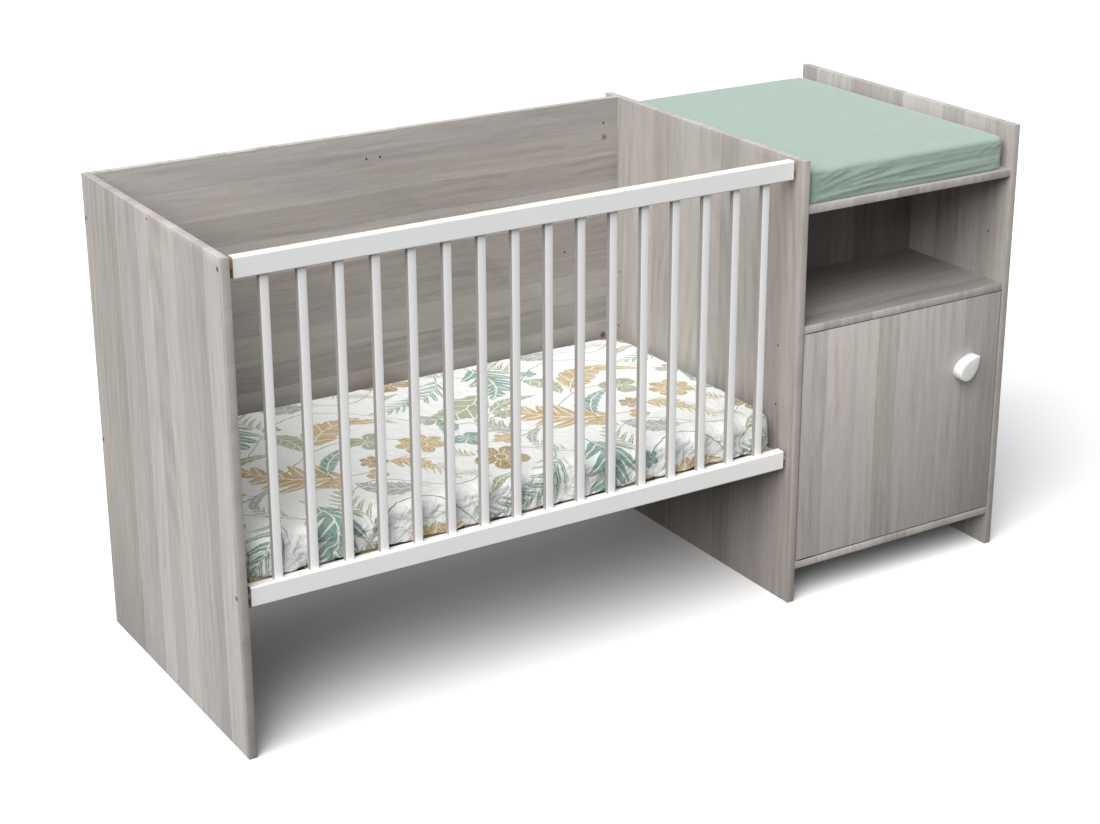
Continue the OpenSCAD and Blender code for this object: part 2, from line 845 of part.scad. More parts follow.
module leaf_plate(screw_length) {
    difference() {
        translate([0, 0, -leaf_t]) linear_extrude(leaf_t) leaf_outline(0);
        at_leaf_screws() small_screw_hole(screw_length);
    }
}

module door_leaf(gap) {
    leaf_plate(door_leaf_screw_l);
    translate([0, 0, -leaf_t]) cylinder(d = hinge_pin_d, h = 2 * leaf_t + gap - fit_gap);
}

module frame_leaf(gap) {
    difference() {
        union() {
            leaf_plate(frame_leaf_screw_l);
            translate([0, 0, -leaf_t]) cylinder(d = leaf_w, h = leaf_t + gap - boss_air);
        }
        translate([0, 0, -leaf_t - eps])
            cylinder(d = hinge_pin_d + 2 * pin_clear, h = leaf_t + gap + 2 * eps);
    }
}

module door_hinge_leaves() {
    color(steel_colour) placed()
        for (side = [0, 1]) at_door_edge(side) door_leaf(door_gaps[side]);
}

module frame_hinge_leaves() {
    color(steel_colour) placed()
        for (side = [0, 1]) at_shelf_face(side) frame_leaf(door_gaps[side]);
}

catch_x = door_x + door_w - catch_from_edge - catch_l / 2;
catch_y = door_y + board_t + strike_t + catch_air;
catch_screw_l = catch_h + 10;
catch_screw_in = 7;
strike_z = door_z + door_h - 1 - strike_h;
strike_screw_in = 8;
strike_screw_l = 11;

// Screws that go up through the catch into the shelf
module at_catch_screws() {
    for (side = [-1, 1])
        translate([
            catch_x + side * (catch_l / 2 - catch_screw_in),
            catch_y + catch_d / 2,
            shelf_z - catch_h
        ]) mirror([0, 0, 1]) children();
}

// Screws that go through the strike plate into the door's inner face
module at_strike_screws() {
    for (side = [-1, 1])
        translate([
            catch_x + side * (strike_l / 2 - strike_screw_in),
            door_y + board_t + strike_t,
            strike_z + strike_h / 2
        ]) rotate([-90, 0, 0]) children();
}

module magnet_catch() {
    magnet_l = 24;
    magnet_h = 8;
    magnet_d = 2;
    color(plastic_colour) placed() difference() {
        translate([catch_x - catch_l / 2, catch_y, shelf_z - catch_h]) cube([catch_l, catch_d, catch_h]);
        at_catch_screws() small_screw_hole(catch_screw_l);
        for (z = [0.25, 0.75])
            translate([catch_x - magnet_l / 2, catch_y - eps, shelf_z - catch_h * z - magnet_d / 2])
                cube([magnet_l, eps + magnet_h, magnet_d]);
    }
}

module catch_strike() {
    color(steel_colour) placed() difference() {
        translate([catch_x - strike_l / 2, door_y + board_t, strike_z])
            cube([strike_l, strike_t, strike_h]);
        at_strike_screws() small_screw_hole(strike_screw_l);
    }
}

module door_small_screws() {
    color(steel_colour) placed() {
        for (side = [0, 1]) at_door_edge(side) at_leaf_screws() small_screw(door_leaf_screw_l);
        at_strike_screws() small_screw(strike_screw_l);
    }
}

module frame_small_screws() {
    color(steel_colour) placed() {
        for (side = [0, 1]) at_shelf_face(side) at_leaf_screws() small_screw(frame_leaf_screw_l);
        at_catch_screws() small_screw(catch_screw_l);
    }
}

// The knob's screw comes from the door's inner face, where z = 0, and points along -z
module at_knob_screw() {
    translate([knob_screw_x, door_y + board_t, knob_screw_z]) rotate([-90, 0, 0]) children();
}

module knob_screw_hole() {
    gap = 2 * fit_gap;
    translate([0, 0, -board_t - knob_screw_grip - drill_over])
        cylinder(d = knob_screw_d + gap, h = board_t + knob_screw_grip + drill_over + eps);
}

module knob_screw() {
    slot_w = 1.2;
    slot_h = 1;
    color(steel_colour) placed() at_knob_screw() difference() {
        union() {
            translate([0, 0, -board_t - knob_screw_grip])
                cylinder(d = knob_screw_d, h = board_t + knob_screw_grip + eps);
            cylinder(d = knob_screw_head_d, h = knob_screw_head_h);
        }
        for (turn = [0, 90])
            translate([0, 0, knob_screw_head_h])
                rotate([0, 0, turn])
                    cube([knob_screw_head_d * 0.6, slot_w, 2 * slot_h], center = true);
    }
}

module door_panel() {
    color(board_colour) placed() difference() {
        translate([door_x, door_y, door_z]) cube([door_w, board_t, door_h]);
        for (side = [0, 1]) at_door_edge(side) leaf_pocket(door_leaf_screw_l);
        at_strike_screws() small_screw_hole(strike_screw_l);
        at_knob_screw() knob_screw_hole();
    }
}

// Drop-shaped outline: a round end and two arcs that meet at the tip
module knob_outline(inset) {
    side_r = (knob_reach * knob_reach + knob_r * knob_r) / (2 * knob_r);
    circle(r = knob_r - inset);
    intersection() {
        translate([0, knob_r - side_r]) circle(r = side_r - inset);
        translate([0, side_r - knob_r]) circle(r = side_r - inset);
        translate([0, -knob_r]) square([knob_reach + knob_r, 2 * knob_r]);
    }
}

module door_knob() {
    rim_r = 2;
    rim_steps = 4;
    color(paint_colour) placed() difference() {
        translate([knob_x, door_y, knob_z]) rotate([90, -knob_tilt, 0])
            for (i = [0:rim_steps])
                linear_extrude(knob_d - rim_r + rim_r * sin(90 * i / rim_steps))
                    knob_outline(rim_r * (1 - cos(90 * i / rim_steps)));
        at_knob_screw() knob_screw_hole();
    }
}

left_end_panel();
divider_panel();
changer_right_panel();
crib_back_panel();
gate_top_rail();
gate_bottom_rail();
gate_spacers();
for (i = [1:slat_count]) gate_slat(i);
base_front_rail();
base_back_rail();
base_slat_screws();
for (i = [1:base_slat_count]) base_slat(i);
changer_top_board();
changer_middle_shelf();
changer_bottom_shelf();
changer_partition();
cam_locks();
cam_bolts();
wood_dowels();
panel_screws();
mattress_core();
fitted_sheet();
pad_core();
pad_cover();
door_panel();
door_knob();
knob_screw();
door_hinge_leaves();
door_small_screws();
frame_hinge_leaves();
frame_small_screws();
magnet_catch();
catch_strike();
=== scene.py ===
# %% [markdown]
# # A crib with a changing unit beside it
# The object is a child's bed made of coated chipboard panels, with a white slatted gate,
# a mattress in a printed sheet, and a small cabinet with a green changing mat on top.
# The exact construction is loaded as a fixed frame. This file gives it its looks:
# rounded edges, printed wood, lacquer, cloth that was really draped, and soft light.
# Everything is in metres, with the floor at height 0.

# %% Load the frame
import json
import math

import bmesh
import bpy
import numpy as np
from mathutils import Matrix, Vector, noise

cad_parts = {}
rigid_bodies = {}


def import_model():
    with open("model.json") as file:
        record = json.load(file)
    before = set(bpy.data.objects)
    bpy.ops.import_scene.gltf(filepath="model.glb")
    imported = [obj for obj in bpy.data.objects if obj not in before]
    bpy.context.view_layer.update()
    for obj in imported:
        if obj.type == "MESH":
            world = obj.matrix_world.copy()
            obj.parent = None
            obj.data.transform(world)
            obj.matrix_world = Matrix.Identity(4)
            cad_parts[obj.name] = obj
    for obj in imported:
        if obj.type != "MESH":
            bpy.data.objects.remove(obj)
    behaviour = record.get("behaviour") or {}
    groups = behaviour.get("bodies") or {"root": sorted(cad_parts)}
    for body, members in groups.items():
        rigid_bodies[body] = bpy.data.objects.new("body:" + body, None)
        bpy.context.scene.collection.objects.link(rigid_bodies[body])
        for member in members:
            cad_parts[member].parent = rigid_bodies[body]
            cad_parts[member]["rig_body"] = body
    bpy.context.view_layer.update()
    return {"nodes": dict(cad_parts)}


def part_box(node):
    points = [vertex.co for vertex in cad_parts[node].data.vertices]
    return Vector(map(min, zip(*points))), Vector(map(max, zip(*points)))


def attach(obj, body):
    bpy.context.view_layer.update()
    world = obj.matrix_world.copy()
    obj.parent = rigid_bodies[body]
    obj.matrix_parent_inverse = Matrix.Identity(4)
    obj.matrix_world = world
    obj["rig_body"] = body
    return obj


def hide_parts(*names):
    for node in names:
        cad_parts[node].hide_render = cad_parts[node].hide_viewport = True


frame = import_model()

# %% [markdown]
# ## Two helpers for every material
# Colours are easiest to pick as the hex codes a screen shows, but light adds up in a
# linear scale, so one function turns the first into the second.
# A node needs its kind, its settings and its inputs. One function that takes all three
# keeps each material short, and a link is made wherever an input is given a socket.

# %% Colour and node helpers
MM = 0.001


def linear(hex_code):
    """A screen colour such as "#b0aaa4" as linear red, green, blue and alpha."""
    parts = [int(hex_code[i : i + 2], 16) / 255 for i in (1, 3, 5)]
    return [c / 12.92 if c <= 0.04045 else ((c + 0.055) / 1.055) ** 2.4 for c in parts] + [1.0]


def add_node(tree, kind, inputs=None, **settings):
    """A node with its settings made and its inputs set, or linked where given a socket."""
    node = tree.nodes.new(kind)
    for key, value in settings.items():
        setattr(node, key, value)
    for key, value in (inputs or {}).items():
        if isinstance(value, bpy.types.NodeSocket):
            tree.links.new(value, node.inputs[key])
        else:
            node.inputs[key].default_value = value
    return node


def new_material(name):
    """An empty material with an output, and the tree to add nodes to."""
    material = bpy.data.materials.new(name)
    material.use_nodes = True
    material.node_tree.nodes.clear()
    return material, material.node_tree


print("white is", linear("#ffffff"), "and mid grey is", linear("#808080"))

# %% [markdown]
# ## Camera, floor and light
# The picture was taken from the left and a little above, with a long lens. A long lens keeps
# upright edges upright and makes both ends of a long piece of furniture look the same size.
# One broad, soft lamp above the left front gives the panels three clear tones. A sky that
# is bright overhead and dim at the horizon fills the shadows, but leaves the open niche
# and the space under the bed dark. A weak second lamp behind, nearly level and without a
# shadow or a highlight of its own, only reaches faces that are turned away from the camera:
# they stay readable when the object is seen from the back. The floor is a matte white
# sheet that keeps the shadow.

# %% Camera
camera_data = bpy.data.cameras.new("camera")
camera_data.sensor_width = 36
camera_data.lens = 70.44
camera_data.shift_x = -0.0160
camera_data.shift_y = -0.0467
camera = bpy.data.objects.new("camera", camera_data)
camera.location = (-2.2527, -3.5576, 2.0364)
camera.rotation_euler = (math.radians(90 - 20.01), 0, math.radians(-32.30))
bpy.context.scene.collection.objects.link(camera)
bpy.context.scene.camera = camera
bpy.context.scene.view_settings.view_transform = "Standard"
print("camera at", tuple(camera.location), "lens", camera_data.lens, "mm")

# %% Light
LAMP_FROM = Vector((-0.76, -0.42, 0.80))
LAMP_STRENGTH = 4.35
LAMP_SOFTNESS_DEG = 55
BACK_LAMP_FROM = Vector((0.45, 0.90, -0.12))
BACK_LAMP_STRENGTH = 0.9
BACK_LAMP_SOFTNESS_DEG = 8
SKY_OVERHEAD, SKY_HORIZON = 0.64, 0.16


def add_sun(name, comes_from, strength, softness_deg):
    """A sun lamp that shines from a direction; the softness is the angle it fills in the sky."""
    light = bpy.data.lights.new(name, "SUN")
    light.energy = strength
    light.angle = math.radians(softness_deg)
    lamp = bpy.data.objects.new(name, light)
    lamp.rotation_mode = "QUATERNION"
    lamp.rotation_quaternion = comes_from.to_track_quat("Z", "Y")
    bpy.context.scene.collection.objects.link(lamp)
    return lamp


add_sun("soft_lamp", LAMP_FROM, LAMP_STRENGTH, LAMP_SOFTNESS_DEG)
back_lamp = add_sun("back_lamp", BACK_LAMP_FROM, BACK_LAMP_STRENGTH, BACK_LAMP_SOFTNESS_DEG)
back_lamp.data.use_shadow = False
back_lamp.data.cycles.max_bounces = 0
back_lamp.visible_glossy = False

world = bpy.data.worlds.new("studio")
world.use_nodes = True
bpy.context.scene.world = world
tree = world.node_tree
tree.nodes.clear()
ray = add_node(tree, "ShaderNodeLightPath")
seen = add_node(
    tree, "ShaderNodeMath", {0: ray.outputs["Is Camera Ray"], 1: ray.outputs["Is Glossy Ray"]},
    operation="MAXIMUM",
)
seen = add_node(
    tree, "ShaderNodeMath", {0: seen.outputs[0], 1: ray.outputs["Is Transmission Ray"]},
    operation="MAXIMUM",
)
towards = add_node(tree, "ShaderNodeTexCoord").outputs["Generated"]
upwards = add_node(tree, "ShaderNodeSeparateXYZ", {"Vector": towards}).outputs["Z"]
glow = add_node(
    tree, "ShaderNodeMapRange", {"Value": upwards, "To Min": SKY_HORIZON, "To Max": SKY_OVERHEAD},
)
strength = add_node(
    tree, "ShaderNodeMix", {0: seen.outputs[0], 2: glow.outputs[0], 3: 1.0}, data_type="FLOAT",
)
sky = add_node(
    tree, "ShaderNodeBackground", {"Color": linear("#ffffff"), "Strength": strength.outputs[0]},
)
add_node(tree, "ShaderNodeOutputWorld", {"Surface": sky.outputs[0]})
print("lamp from", tuple(round(c, 2) for c in LAMP_FROM), "sky", SKY_HORIZON, "to", SKY_OVERHEAD)

# %% Floor
floor_white, tree = new_material("matte_white_floor")
ray = add_node(tree, "ShaderNodeLightPath")
paper = add_node(tree, "ShaderNodeBsdfDiffuse", {"Color": linear("#f7f7f7")})
bounce = add_node(tree, "ShaderNodeBsdfDiffuse", {"Color": linear("#686868")})
mix = add_node(
    tree, "ShaderNodeMixShader",
    {0: ray.outputs["Is Camera Ray"], 1: bounce.outputs[0], 2: paper.outputs[0]},
)
# Seen from below the floor lets the view through, so that it never hides the underside.
below = add_node(tree, "ShaderNodeNewGeometry").outputs["Backfacing"]
clear = add_node(tree, "ShaderNodeBsdfTransparent")
mix = add_node(tree, "ShaderNodeMixShader", {0: below, 1: mix.outputs[0], 2: clear.outputs[0]})
add_node(tree, "ShaderNodeOutputMaterial", {"Surface": mix.outputs[0]})

floor_mesh = bpy.data.meshes.new("floor")
reach = 30.0
floor_mesh.from_pydata(
    [(-reach, -reach, 0), (reach, -reach, 0), (reach, reach, 0), (-reach, reach, 0)], [],
    [(0, 1, 2, 3)],
)
floor_mesh.materials.append(floor_white)
floor = bpy.data.objects.new("floor", floor_mesh)
bpy.context.scene.collection.objects.link(floor)
print("floor laid,", 2 * reach, "m across")

# %% [markdown]
# ## The grey wood print
# The panels are chipboard covered with a printed melamine paper. The print shows boards glued
# side by side: bands 50 to 110 mm wide in slightly different greys, some warmer and some
# cooler, with fine streaks along the grain and here and there an arched figure.
# A photograph of wood could be wrapped round each panel, but then every panel would look
# the same close up. Noise that is stretched along the grain never repeats, and because it
# fills space, the stripes run on over a panel's edge as they do on the real one.
# The print is one node group, so that each panel only says which way its grain runs.

# %% Where the print is: glued bands that wander a little
wood_print = bpy.data.node_groups.new("grey_wood_print", "ShaderNodeTree")
for name in ("Across", "Along", "Seed"):
    wood_print.interface.new_socket(name, in_out="INPUT", socket_type="NodeSocketFloat")
wood_print.interface.new_socket("Color", in_out="OUTPUT", socket_type="NodeSocketColor")
wood_print.interface.new_socket("Height", in_out="OUTPUT", socket_type="NodeSocketFloat")
given = add_node(wood_print, "NodeGroupInput").outputs

slow = add_node(wood_print, "ShaderNodeCombineXYZ", {"X": given["Along"], "Y": given["Seed"]})
wander = add_node(
    wood_print, "ShaderNodeTexNoise", {"Vector": slow.outputs[0], "Scale": 2.2, "Detail": 1.0},
)
across = add_node(
    wood_print, "ShaderNodeMath", {0: wander.outputs["Fac"], 1: 14 * MM, 2: given["Across"]},
    operation="MULTIPLY_ADD",
)
band_at = add_node(
    wood_print, "ShaderNodeMath", {0: given["Seed"], 1: 7.31, 2: across.outputs[0]},
    operation="MULTIPLY_ADD",
)
BAND_WIDTH = 62 * MM
one_band = {"W": band_at.outputs[0], "Scale": 1 / BAND_WIDTH, "Randomness": 0.9}
band = add_node(wood_print, "ShaderNodeTexVoronoi", one_band, voronoi_dimensions="1D")
band_tone = add_node(
    wood_print, "ShaderNodeSeparateColor", {"Color": band.outputs["Color"]},
).outputs
border = add_node(
    wood_print, "ShaderNodeTexVoronoi", one_band, voronoi_dimensions="1D",
    feature="DISTANCE_TO_EDGE",
)
soft_band = add_node(
    wood_print, "ShaderNodeTexNoise",
    {"W": band_at.outputs[0], "Scale": 1 / (34 * MM), "Detail": 2.0}, noise_dimensions="1D",
)
print("bands about", BAND_WIDTH / MM, "mm wide")

# %% Streaks, lines, clouds and arches: noise at different stretches
# The streaks bend round knots that lie deeper in the tree: up to 5 mm over a hand's length.
bend_at = add_node(
    wood_print, "ShaderNodeCombineXYZ",
    {"X": across.outputs[0], "Y": given["Along"], "Z": given["Seed"]},
)
bend_at = add_node(
    wood_print, "ShaderNodeMapping",
    {"Vector": bend_at.outputs[0], "Scale": (1 / (50 * MM), 1 / (150 * MM), 4.3)},
)
bend = add_node(
    wood_print, "ShaderNodeTexNoise", {"Vector": bend_at.outputs[0], "Scale": 1.0, "Detail": 1.0},
)
bent_across = add_node(
    wood_print, "ShaderNodeMath", {0: bend.outputs["Fac"], 1: 16 * MM, 2: across.outputs[0]},
    operation="MULTIPLY_ADD",
)
grain_at = add_node(
    wood_print, "ShaderNodeCombineXYZ",
    {"X": bent_across.outputs[0], "Y": given["Along"], "Z": given["Seed"]},
).outputs[0]


def stretched(across_mm, along_mm, shift):
    """The grain's coordinates in units of a streak's own width and length."""
    return add_node(
        wood_print, "ShaderNodeMapping",
        {"Vector": grain_at, "Scale": (1 / (across_mm * MM), 1 / (along_mm * MM), shift)},
    ).outputs[0]


wide = add_node(
    wood_print, "ShaderNodeTexNoise",
    {"Vector": stretched(14, 170, 3.1), "Scale": 1.0, "Detail": 5.0, "Roughness": 0.62},
)
fine = add_node(
    wood_print, "ShaderNodeTexNoise",
    {"Vector": stretched(2.4, 32, 5.7), "Scale": 1.0, "Detail": 3.0, "Roughness": 0.7},
)
line = add_node(
    wood_print, "ShaderNodeTexNoise",
    {"Vector": stretched(3.4, 150, 8.9), "Scale": 1.0, "Detail": 2.0},
)
dark_line = add_node(
    wood_print, "ShaderNodeMapRange",
    {"Value": line.outputs["Fac"], "From Min": 0.57, "From Max": 0.66},
)
pale_line = add_node(
    wood_print, "ShaderNodeMapRange",
    {"Value": line.outputs["Fac"], "From Min": 0.41, "From Max": 0.34},
)
cloud = add_node(
    wood_print, "ShaderNodeTexNoise",
    {"Vector": stretched(90, 260, 1.3), "Scale": 1.0, "Detail": 2.0},
)
arch = add_node(
    wood_print, "ShaderNodeTexWave",
    {
        "Vector": stretched(62, 400, 2.3), "Scale": 0.8, "Distortion": 6.0, "Detail": 2.0,
        "Detail Scale": 0.8,
    },
    wave_type="RINGS", rings_direction="Z",
)
arch_place = add_node(
    wood_print, "ShaderNodeMapRange",
    {"Value": cloud.outputs["Fac"], "From Min": 0.46, "From Max": 0.60},
)
arch_tone = add_node(
    wood_print, "ShaderNodeMath", {0: arch.outputs["Fac"], 1: arch_place.outputs[0]},
    operation="MULTIPLY",
)
glue_line = add_node(
    wood_print, "ShaderNodeMapRange",
    {
        "Value": border.outputs["Distance"], "From Min": 0.0, "From Max": 0.022, "To Min": 0.16,
        "To Max": 0.0,
    },
)

# The shares are how much each part lightens or darkens the paper.
shares = (
    (band_tone[0], 0.34),
    (soft_band.outputs["Fac"], 0.20),
    (wide.outputs["Fac"], 0.38),
    (fine.outputs["Fac"], 0.38),
    (cloud.outputs["Fac"], 0.30),
    (dark_line.outputs[0], -0.09),
    (pale_line.outputs[0], 0.04),
    (arch_tone.outputs[0], -0.16),
    (glue_line.outputs[0], 1.0),
)
tone = -0.33
for part, share in shares:
    tone = add_node(
        wood_print, "ShaderNodeMath", {0: part, 1: share, 2: tone}, operation="MULTIPLY_ADD",
    ).outputs[0]
print(len(shares), "parts make the print's tone")

# %% From tone to ink colours
inks = add_node(wood_print, "ShaderNodeValToRGB", {"Fac": tone})
inks.color_ramp.elements[0].position = 0.05
inks.color_ramp.elements[0].color = linear("#918c88")
inks.color_ramp.elements[1].position = 0.95
inks.color_ramp.elements[1].color = linear("#cfcbc8")
inks.color_ramp.elements.new(0.5).color = linear("#b4afab")
pink_place = add_node(
    wood_print, "ShaderNodeMapRange",
    {"Value": band_tone[1], "From Min": 0.45, "From Max": 1.0, "To Min": 0.0, "To Max": 0.45},
)
pink_place = add_node(
    wood_print, "ShaderNodeMath", {0: pink_place.outputs[0], 1: cloud.outputs["Fac"]},
    operation="MULTIPLY",
)
pink = add_node(
    wood_print, "ShaderNodeMix",
    {0: pink_place.outputs[0], 6: inks.outputs["Color"], 7: linear("#fbe6e2")}, data_type="RGBA",
    blend_type="MULTIPLY",
)
green_place = add_node(
    wood_print, "ShaderNodeMapRange",
    {"Value": band_tone[2], "From Min": 0.5, "From Max": 1.0, "To Min": 0.0, "To Max": 0.3},
)
green = add_node(
    wood_print, "ShaderNodeMix",
    {0: green_place.outputs[0], 6: pink.outputs[2], 7: linear("#f2f6ea")}, data_type="RGBA",
    blend_type="MULTIPLY",
)
add_node(wood_print, "NodeGroupOutput", {"Color": green.outputs[2], "Height": fine.outputs["Fac"]})
print("print group has", len(wood_print.nodes), "nodes")

# %% [markdown]
# ## The panels' three finishes
# A melamine surface is hard, matte and almost smooth: light spreads softly on it, and only
# a low glancing shine shows. The plates that press it leave a very shallow grain.
# The thin edges carry a glued strip with the same print. Where a hole is drilled or a
# pocket cut, the brown chips inside show, rough and without any shine.


# %% Melamine and bare chipboard
def melamine(name, across_axis, along_axis, seed, painted_shade):
    """Melamine paper with the grain along one axis; matte, with a faint pressed grain.
    The last argument is painted shade: below 1 it darkens the paper's colour for panels that lie in
    shade, above 1 it lightens it."""
    material, tree = new_material(name)
    place = add_node(tree, "ShaderNodeTexCoord").outputs["Object"]
    xyz = add_node(tree, "ShaderNodeSeparateXYZ", {"Vector": place}).outputs
    ink = add_node(tree, "ShaderNodeGroup", node_tree=wood_print)
    tree.links.new(xyz[across_axis], ink.inputs["Across"])
    tree.links.new(xyz[along_axis], ink.inputs["Along"])
    ink.inputs["Seed"].default_value = seed
    sheen = add_node(
        tree, "ShaderNodeMapRange",
        {"Value": ink.outputs["Height"], "To Min": 0.58, "To Max": 0.46},
    )
    pressed = add_node(
        tree, "ShaderNodeBump",
        {"Height": ink.outputs["Height"], "Strength": 0.12, "Distance": 0.2 * MM},
    )
    # Painted shade: the print's colour is scaled by the panel's painted shade factor.
    shaded_ink = add_node(
        tree, "ShaderNodeVectorMath", {0: ink.outputs["Color"], "Scale": painted_shade}, operation="SCALE",
    )
    face = add_node(
        tree, "ShaderNodeBsdfPrincipled",
        {
            "Base Color": shaded_ink.outputs[0], "Roughness": sheen.outputs[0], "IOR": 1.5,
            "Normal": pressed.outputs[0],
        },
    )
    add_node(tree, "ShaderNodeOutputMaterial", {"Surface": face.outputs[0]})
    return material


bare_chipboard, tree = new_material("bare_chipboard")
place = add_node(tree, "ShaderNodeTexCoord").outputs["Object"]
chips = add_node(tree, "ShaderNodeTexVoronoi", {"Vector": place, "Scale": 1 / (3 * MM)})
chip_tone = add_node(tree, "ShaderNodeSeparateColor", {"Color": chips.outputs["Color"]}).outputs[0]
brown = add_node(
    tree, "ShaderNodeMix", {0: chip_tone, 6: linear("#6f5a44"), 7: linear("#94795a")},
    data_type="RGBA",
)
rough = add_node(
    tree, "ShaderNodeBump",
    {"Height": chips.outputs["Distance"], "Strength": 0.5, "Distance": 0.5 * MM},
)
face = add_node(
    tree, "ShaderNodeBsdfPrincipled",
    {"Base Color": brown.outputs[2], "Roughness": 0.9, "Normal": rough.outputs[0]},
)
add_node(tree, "ShaderNodeOutputMaterial", {"Surface": face.outputs[0]})
print("chipboard chips about 3 mm")

# %% [markdown]
# ## The panels
# Each panel already exists in the frame with its drilled holes. What it lacks is the
# small rounding of the edge strips, which catches a thin line of light.
# A Bevel modifier would also round every drilled hole. Here a copy of the panel is merged,
# and only the edges that lie on two of its outer planes are rounded, by 0.8 mm.
# The copy then stands for the frame's own panel.


# %% Copy a panel and round its outer edges
MERGE_DISTANCE = 0.001 * MM
ON_PLANE = 0.01 * MM
COPLANAR_DEG = 0.5
SHARP_DEG = 40


def dress_panel(node, face_finish, edge_finish, rounding=0.8 * MM):
    """A merged copy of a panel with rounded outer edges and one finish for each kind of face."""
    low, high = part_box(node)
    thin = min(range(3), key=lambda k: high[k] - low[k])
    mesh = bpy.data.meshes.new(node + "_dressed")
    bm = bmesh.new()
    bm.from_mesh(frame["nodes"][node].data)
    bmesh.ops.remove_doubles(bm, verts=bm.verts, dist=MERGE_DISTANCE)
    flat_angle = math.radians(COPLANAR_DEG)
    bmesh.ops.dissolve_limit(bm, angle_limit=flat_angle, verts=bm.verts, edges=bm.edges)

    def planes(vert):
        """Which of the panel's six outer planes a corner lies on."""
        at_low = {(k, 0) for k in range(3) if abs(vert.co[k] - low[k]) < ON_PLANE}
        return at_low | {(k, 1) for k in range(3) if abs(vert.co[k] - high[k]) < ON_PLANE}

    outer = [e for e in bm.edges if len(planes(e.verts[0]) & planes(e.verts[1])) == 2]
    bmesh.ops.bevel(
        bm, geom=outer, offset=rounding, segments=2, profile=0.5, affect="EDGES",
        clamp_overlap=False,
    )
    for f in bm.faces:
        c, n = f.calc_center_median(), f.normal
        near = [k for k in range(3) if min(c[k] - low[k], high[k] - c[k]) < rounding]
        f.material_index = 0 if thin in near and abs(n[thin]) > 0.99 else 1 if near else 2
        f.smooth = not near or max(abs(n[k]) for k in range(3)) < 0.99
    bm.to_mesh(mesh)
    bm.free()
    mesh.attributes.remove(mesh.attributes["custom_normal"])
    mesh.set_sharp_from_angle(angle=math.radians(SHARP_DEG))
    for finish in (face_finish, edge_finish, bare_chipboard):
        mesh.materials.append(finish)
    piece = bpy.data.objects.new(node + "_dressed", mesh)
    bpy.context.scene.collection.objects.link(piece)
    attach(piece, frame["nodes"][node]["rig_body"])
    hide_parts(node)
    return piece


print("a corner on a panel's face is within", ON_PLANE / MM, "mm of it")

# %% Dress all nine panels
X, Y, Z = 0, 1, 2
# The last number is painted shade: the divider, back panel, shelves and partition are darkened
# where they lie in shade in the crib and the niche, and the door is lightened a little.
panel_grain = {
    # node: grain runs across and along these axes, the edge strip's own two, seed and painted shade
    "left_end_panel": ((Y, Z), (Y, Z), 1.0, 1.0),
    "divider_panel": ((Y, Z), (Y, Z), 2.0, 0.83),
    "changer_right_panel": ((Y, Z), (Y, Z), 3.0, 0.87),
    "crib_back_panel": ((Z, X), (X, Y), 4.0, 0.78),
    "changer_top_board": ((Y, X), (X, Y), 5.0, 1.0),
    "changer_middle_shelf": ((Y, X), (X, Y), 6.0, 0.64),
    "changer_bottom_shelf": ((Y, X), (X, Y), 7.0, 0.9),
    "changer_partition": ((X, Z), (X, Z), 8.0, 0.40),
    "door_panel": ((X, Z), (X, Z), 9.0, 1.04),
}
panels = {}
for node, (face_axes, strip_axes, seed, painted_shade) in panel_grain.items():
    face_finish = melamine("melamine_" + node, *face_axes, seed, painted_shade)
    edge_finish = melamine("edge_strip_" + node, *strip_axes, seed, 1.0)
    panels[node] = dress_panel(node, face_finish, edge_finish)
    print(node, "dressed:", len(panels[node].data.polygons), "faces")

# %% [markdown]
# ## White lacquer
# The gate's rails and slats are fibreboard in a satin white finish. Such a finish spreads
# light widely but still shows a soft highlight, and close up it has a faint orange-peel
# texture a few millimetres across. A plain white would clip to nothing in the picture,
# so the colour is a little below paper white.
# The rails are sawn to length after they are finished, so their ends show brown board,
# and on the top rail the finish stops short along the upper back edge.

# %% Satin white with brown sawn ends
def satin_white(name, bare=None, dark="#efefef", light="#f6f5f4"):
    """Satin finish on fibreboard. bare is a socket that is 1 where the board shows."""
    material, tree = new_material(name)
    place = add_node(tree, "ShaderNodeTexCoord").outputs["Object"]
    peel = add_node(
        tree, "ShaderNodeTexNoise", {"Vector": place, "Scale": 1 / (5 * MM), "Detail": 1.0},
    )
    patchy = add_node(tree, "ShaderNodeTexNoise", {"Vector": place, "Scale": 6.0, "Detail": 2.0})
    white = add_node(
        tree, "ShaderNodeMix", {0: patchy.outputs["Fac"], 6: linear(dark), 7: linear(light)},
        data_type="RGBA",
    )
    shine = add_node(
        tree, "ShaderNodeMapRange",
        {"Value": patchy.outputs["Fac"], "To Min": 0.34, "To Max": 0.44},
    )
    bump = add_node(
        tree, "ShaderNodeBump",
        {"Height": peel.outputs["Fac"], "Strength": 0.08, "Distance": 0.15 * MM},
    )
    coat = {
        "Base Color": white.outputs[2], "Roughness": shine.outputs[0], "IOR": 1.5,
        "Normal": bump.outputs[0],
    }
    if bare:
        bare_place = bare(tree, place)
        fibre = add_node(
            tree, "ShaderNodeTexNoise", {"Vector": place, "Scale": 1 / (1.5 * MM), "Detail": 3.0},
        )
        board = add_node(
            tree, "ShaderNodeMix",
            {0: fibre.outputs["Fac"], 6: linear("#9c8058"), 7: linear("#d3b283")}, data_type="RGBA",
        )
        coat["Base Color"] = add_node(
            tree, "ShaderNodeMix", {0: bare_place, 6: white.outputs[2], 7: board.outputs[2]},
            data_type="RGBA",
        ).outputs[2]
        coat["Roughness"] = add_node(
            tree, "ShaderNodeMapRange", {"Value": bare_place, "To Min": 0.38, "To Max": 0.85},
        ).outputs[0]
    face = add_node(tree, "ShaderNodeBsdfPrincipled", coat)
    add_node(tree, "ShaderNodeOutputMaterial", {"Surface": face.outputs[0]})
    return material


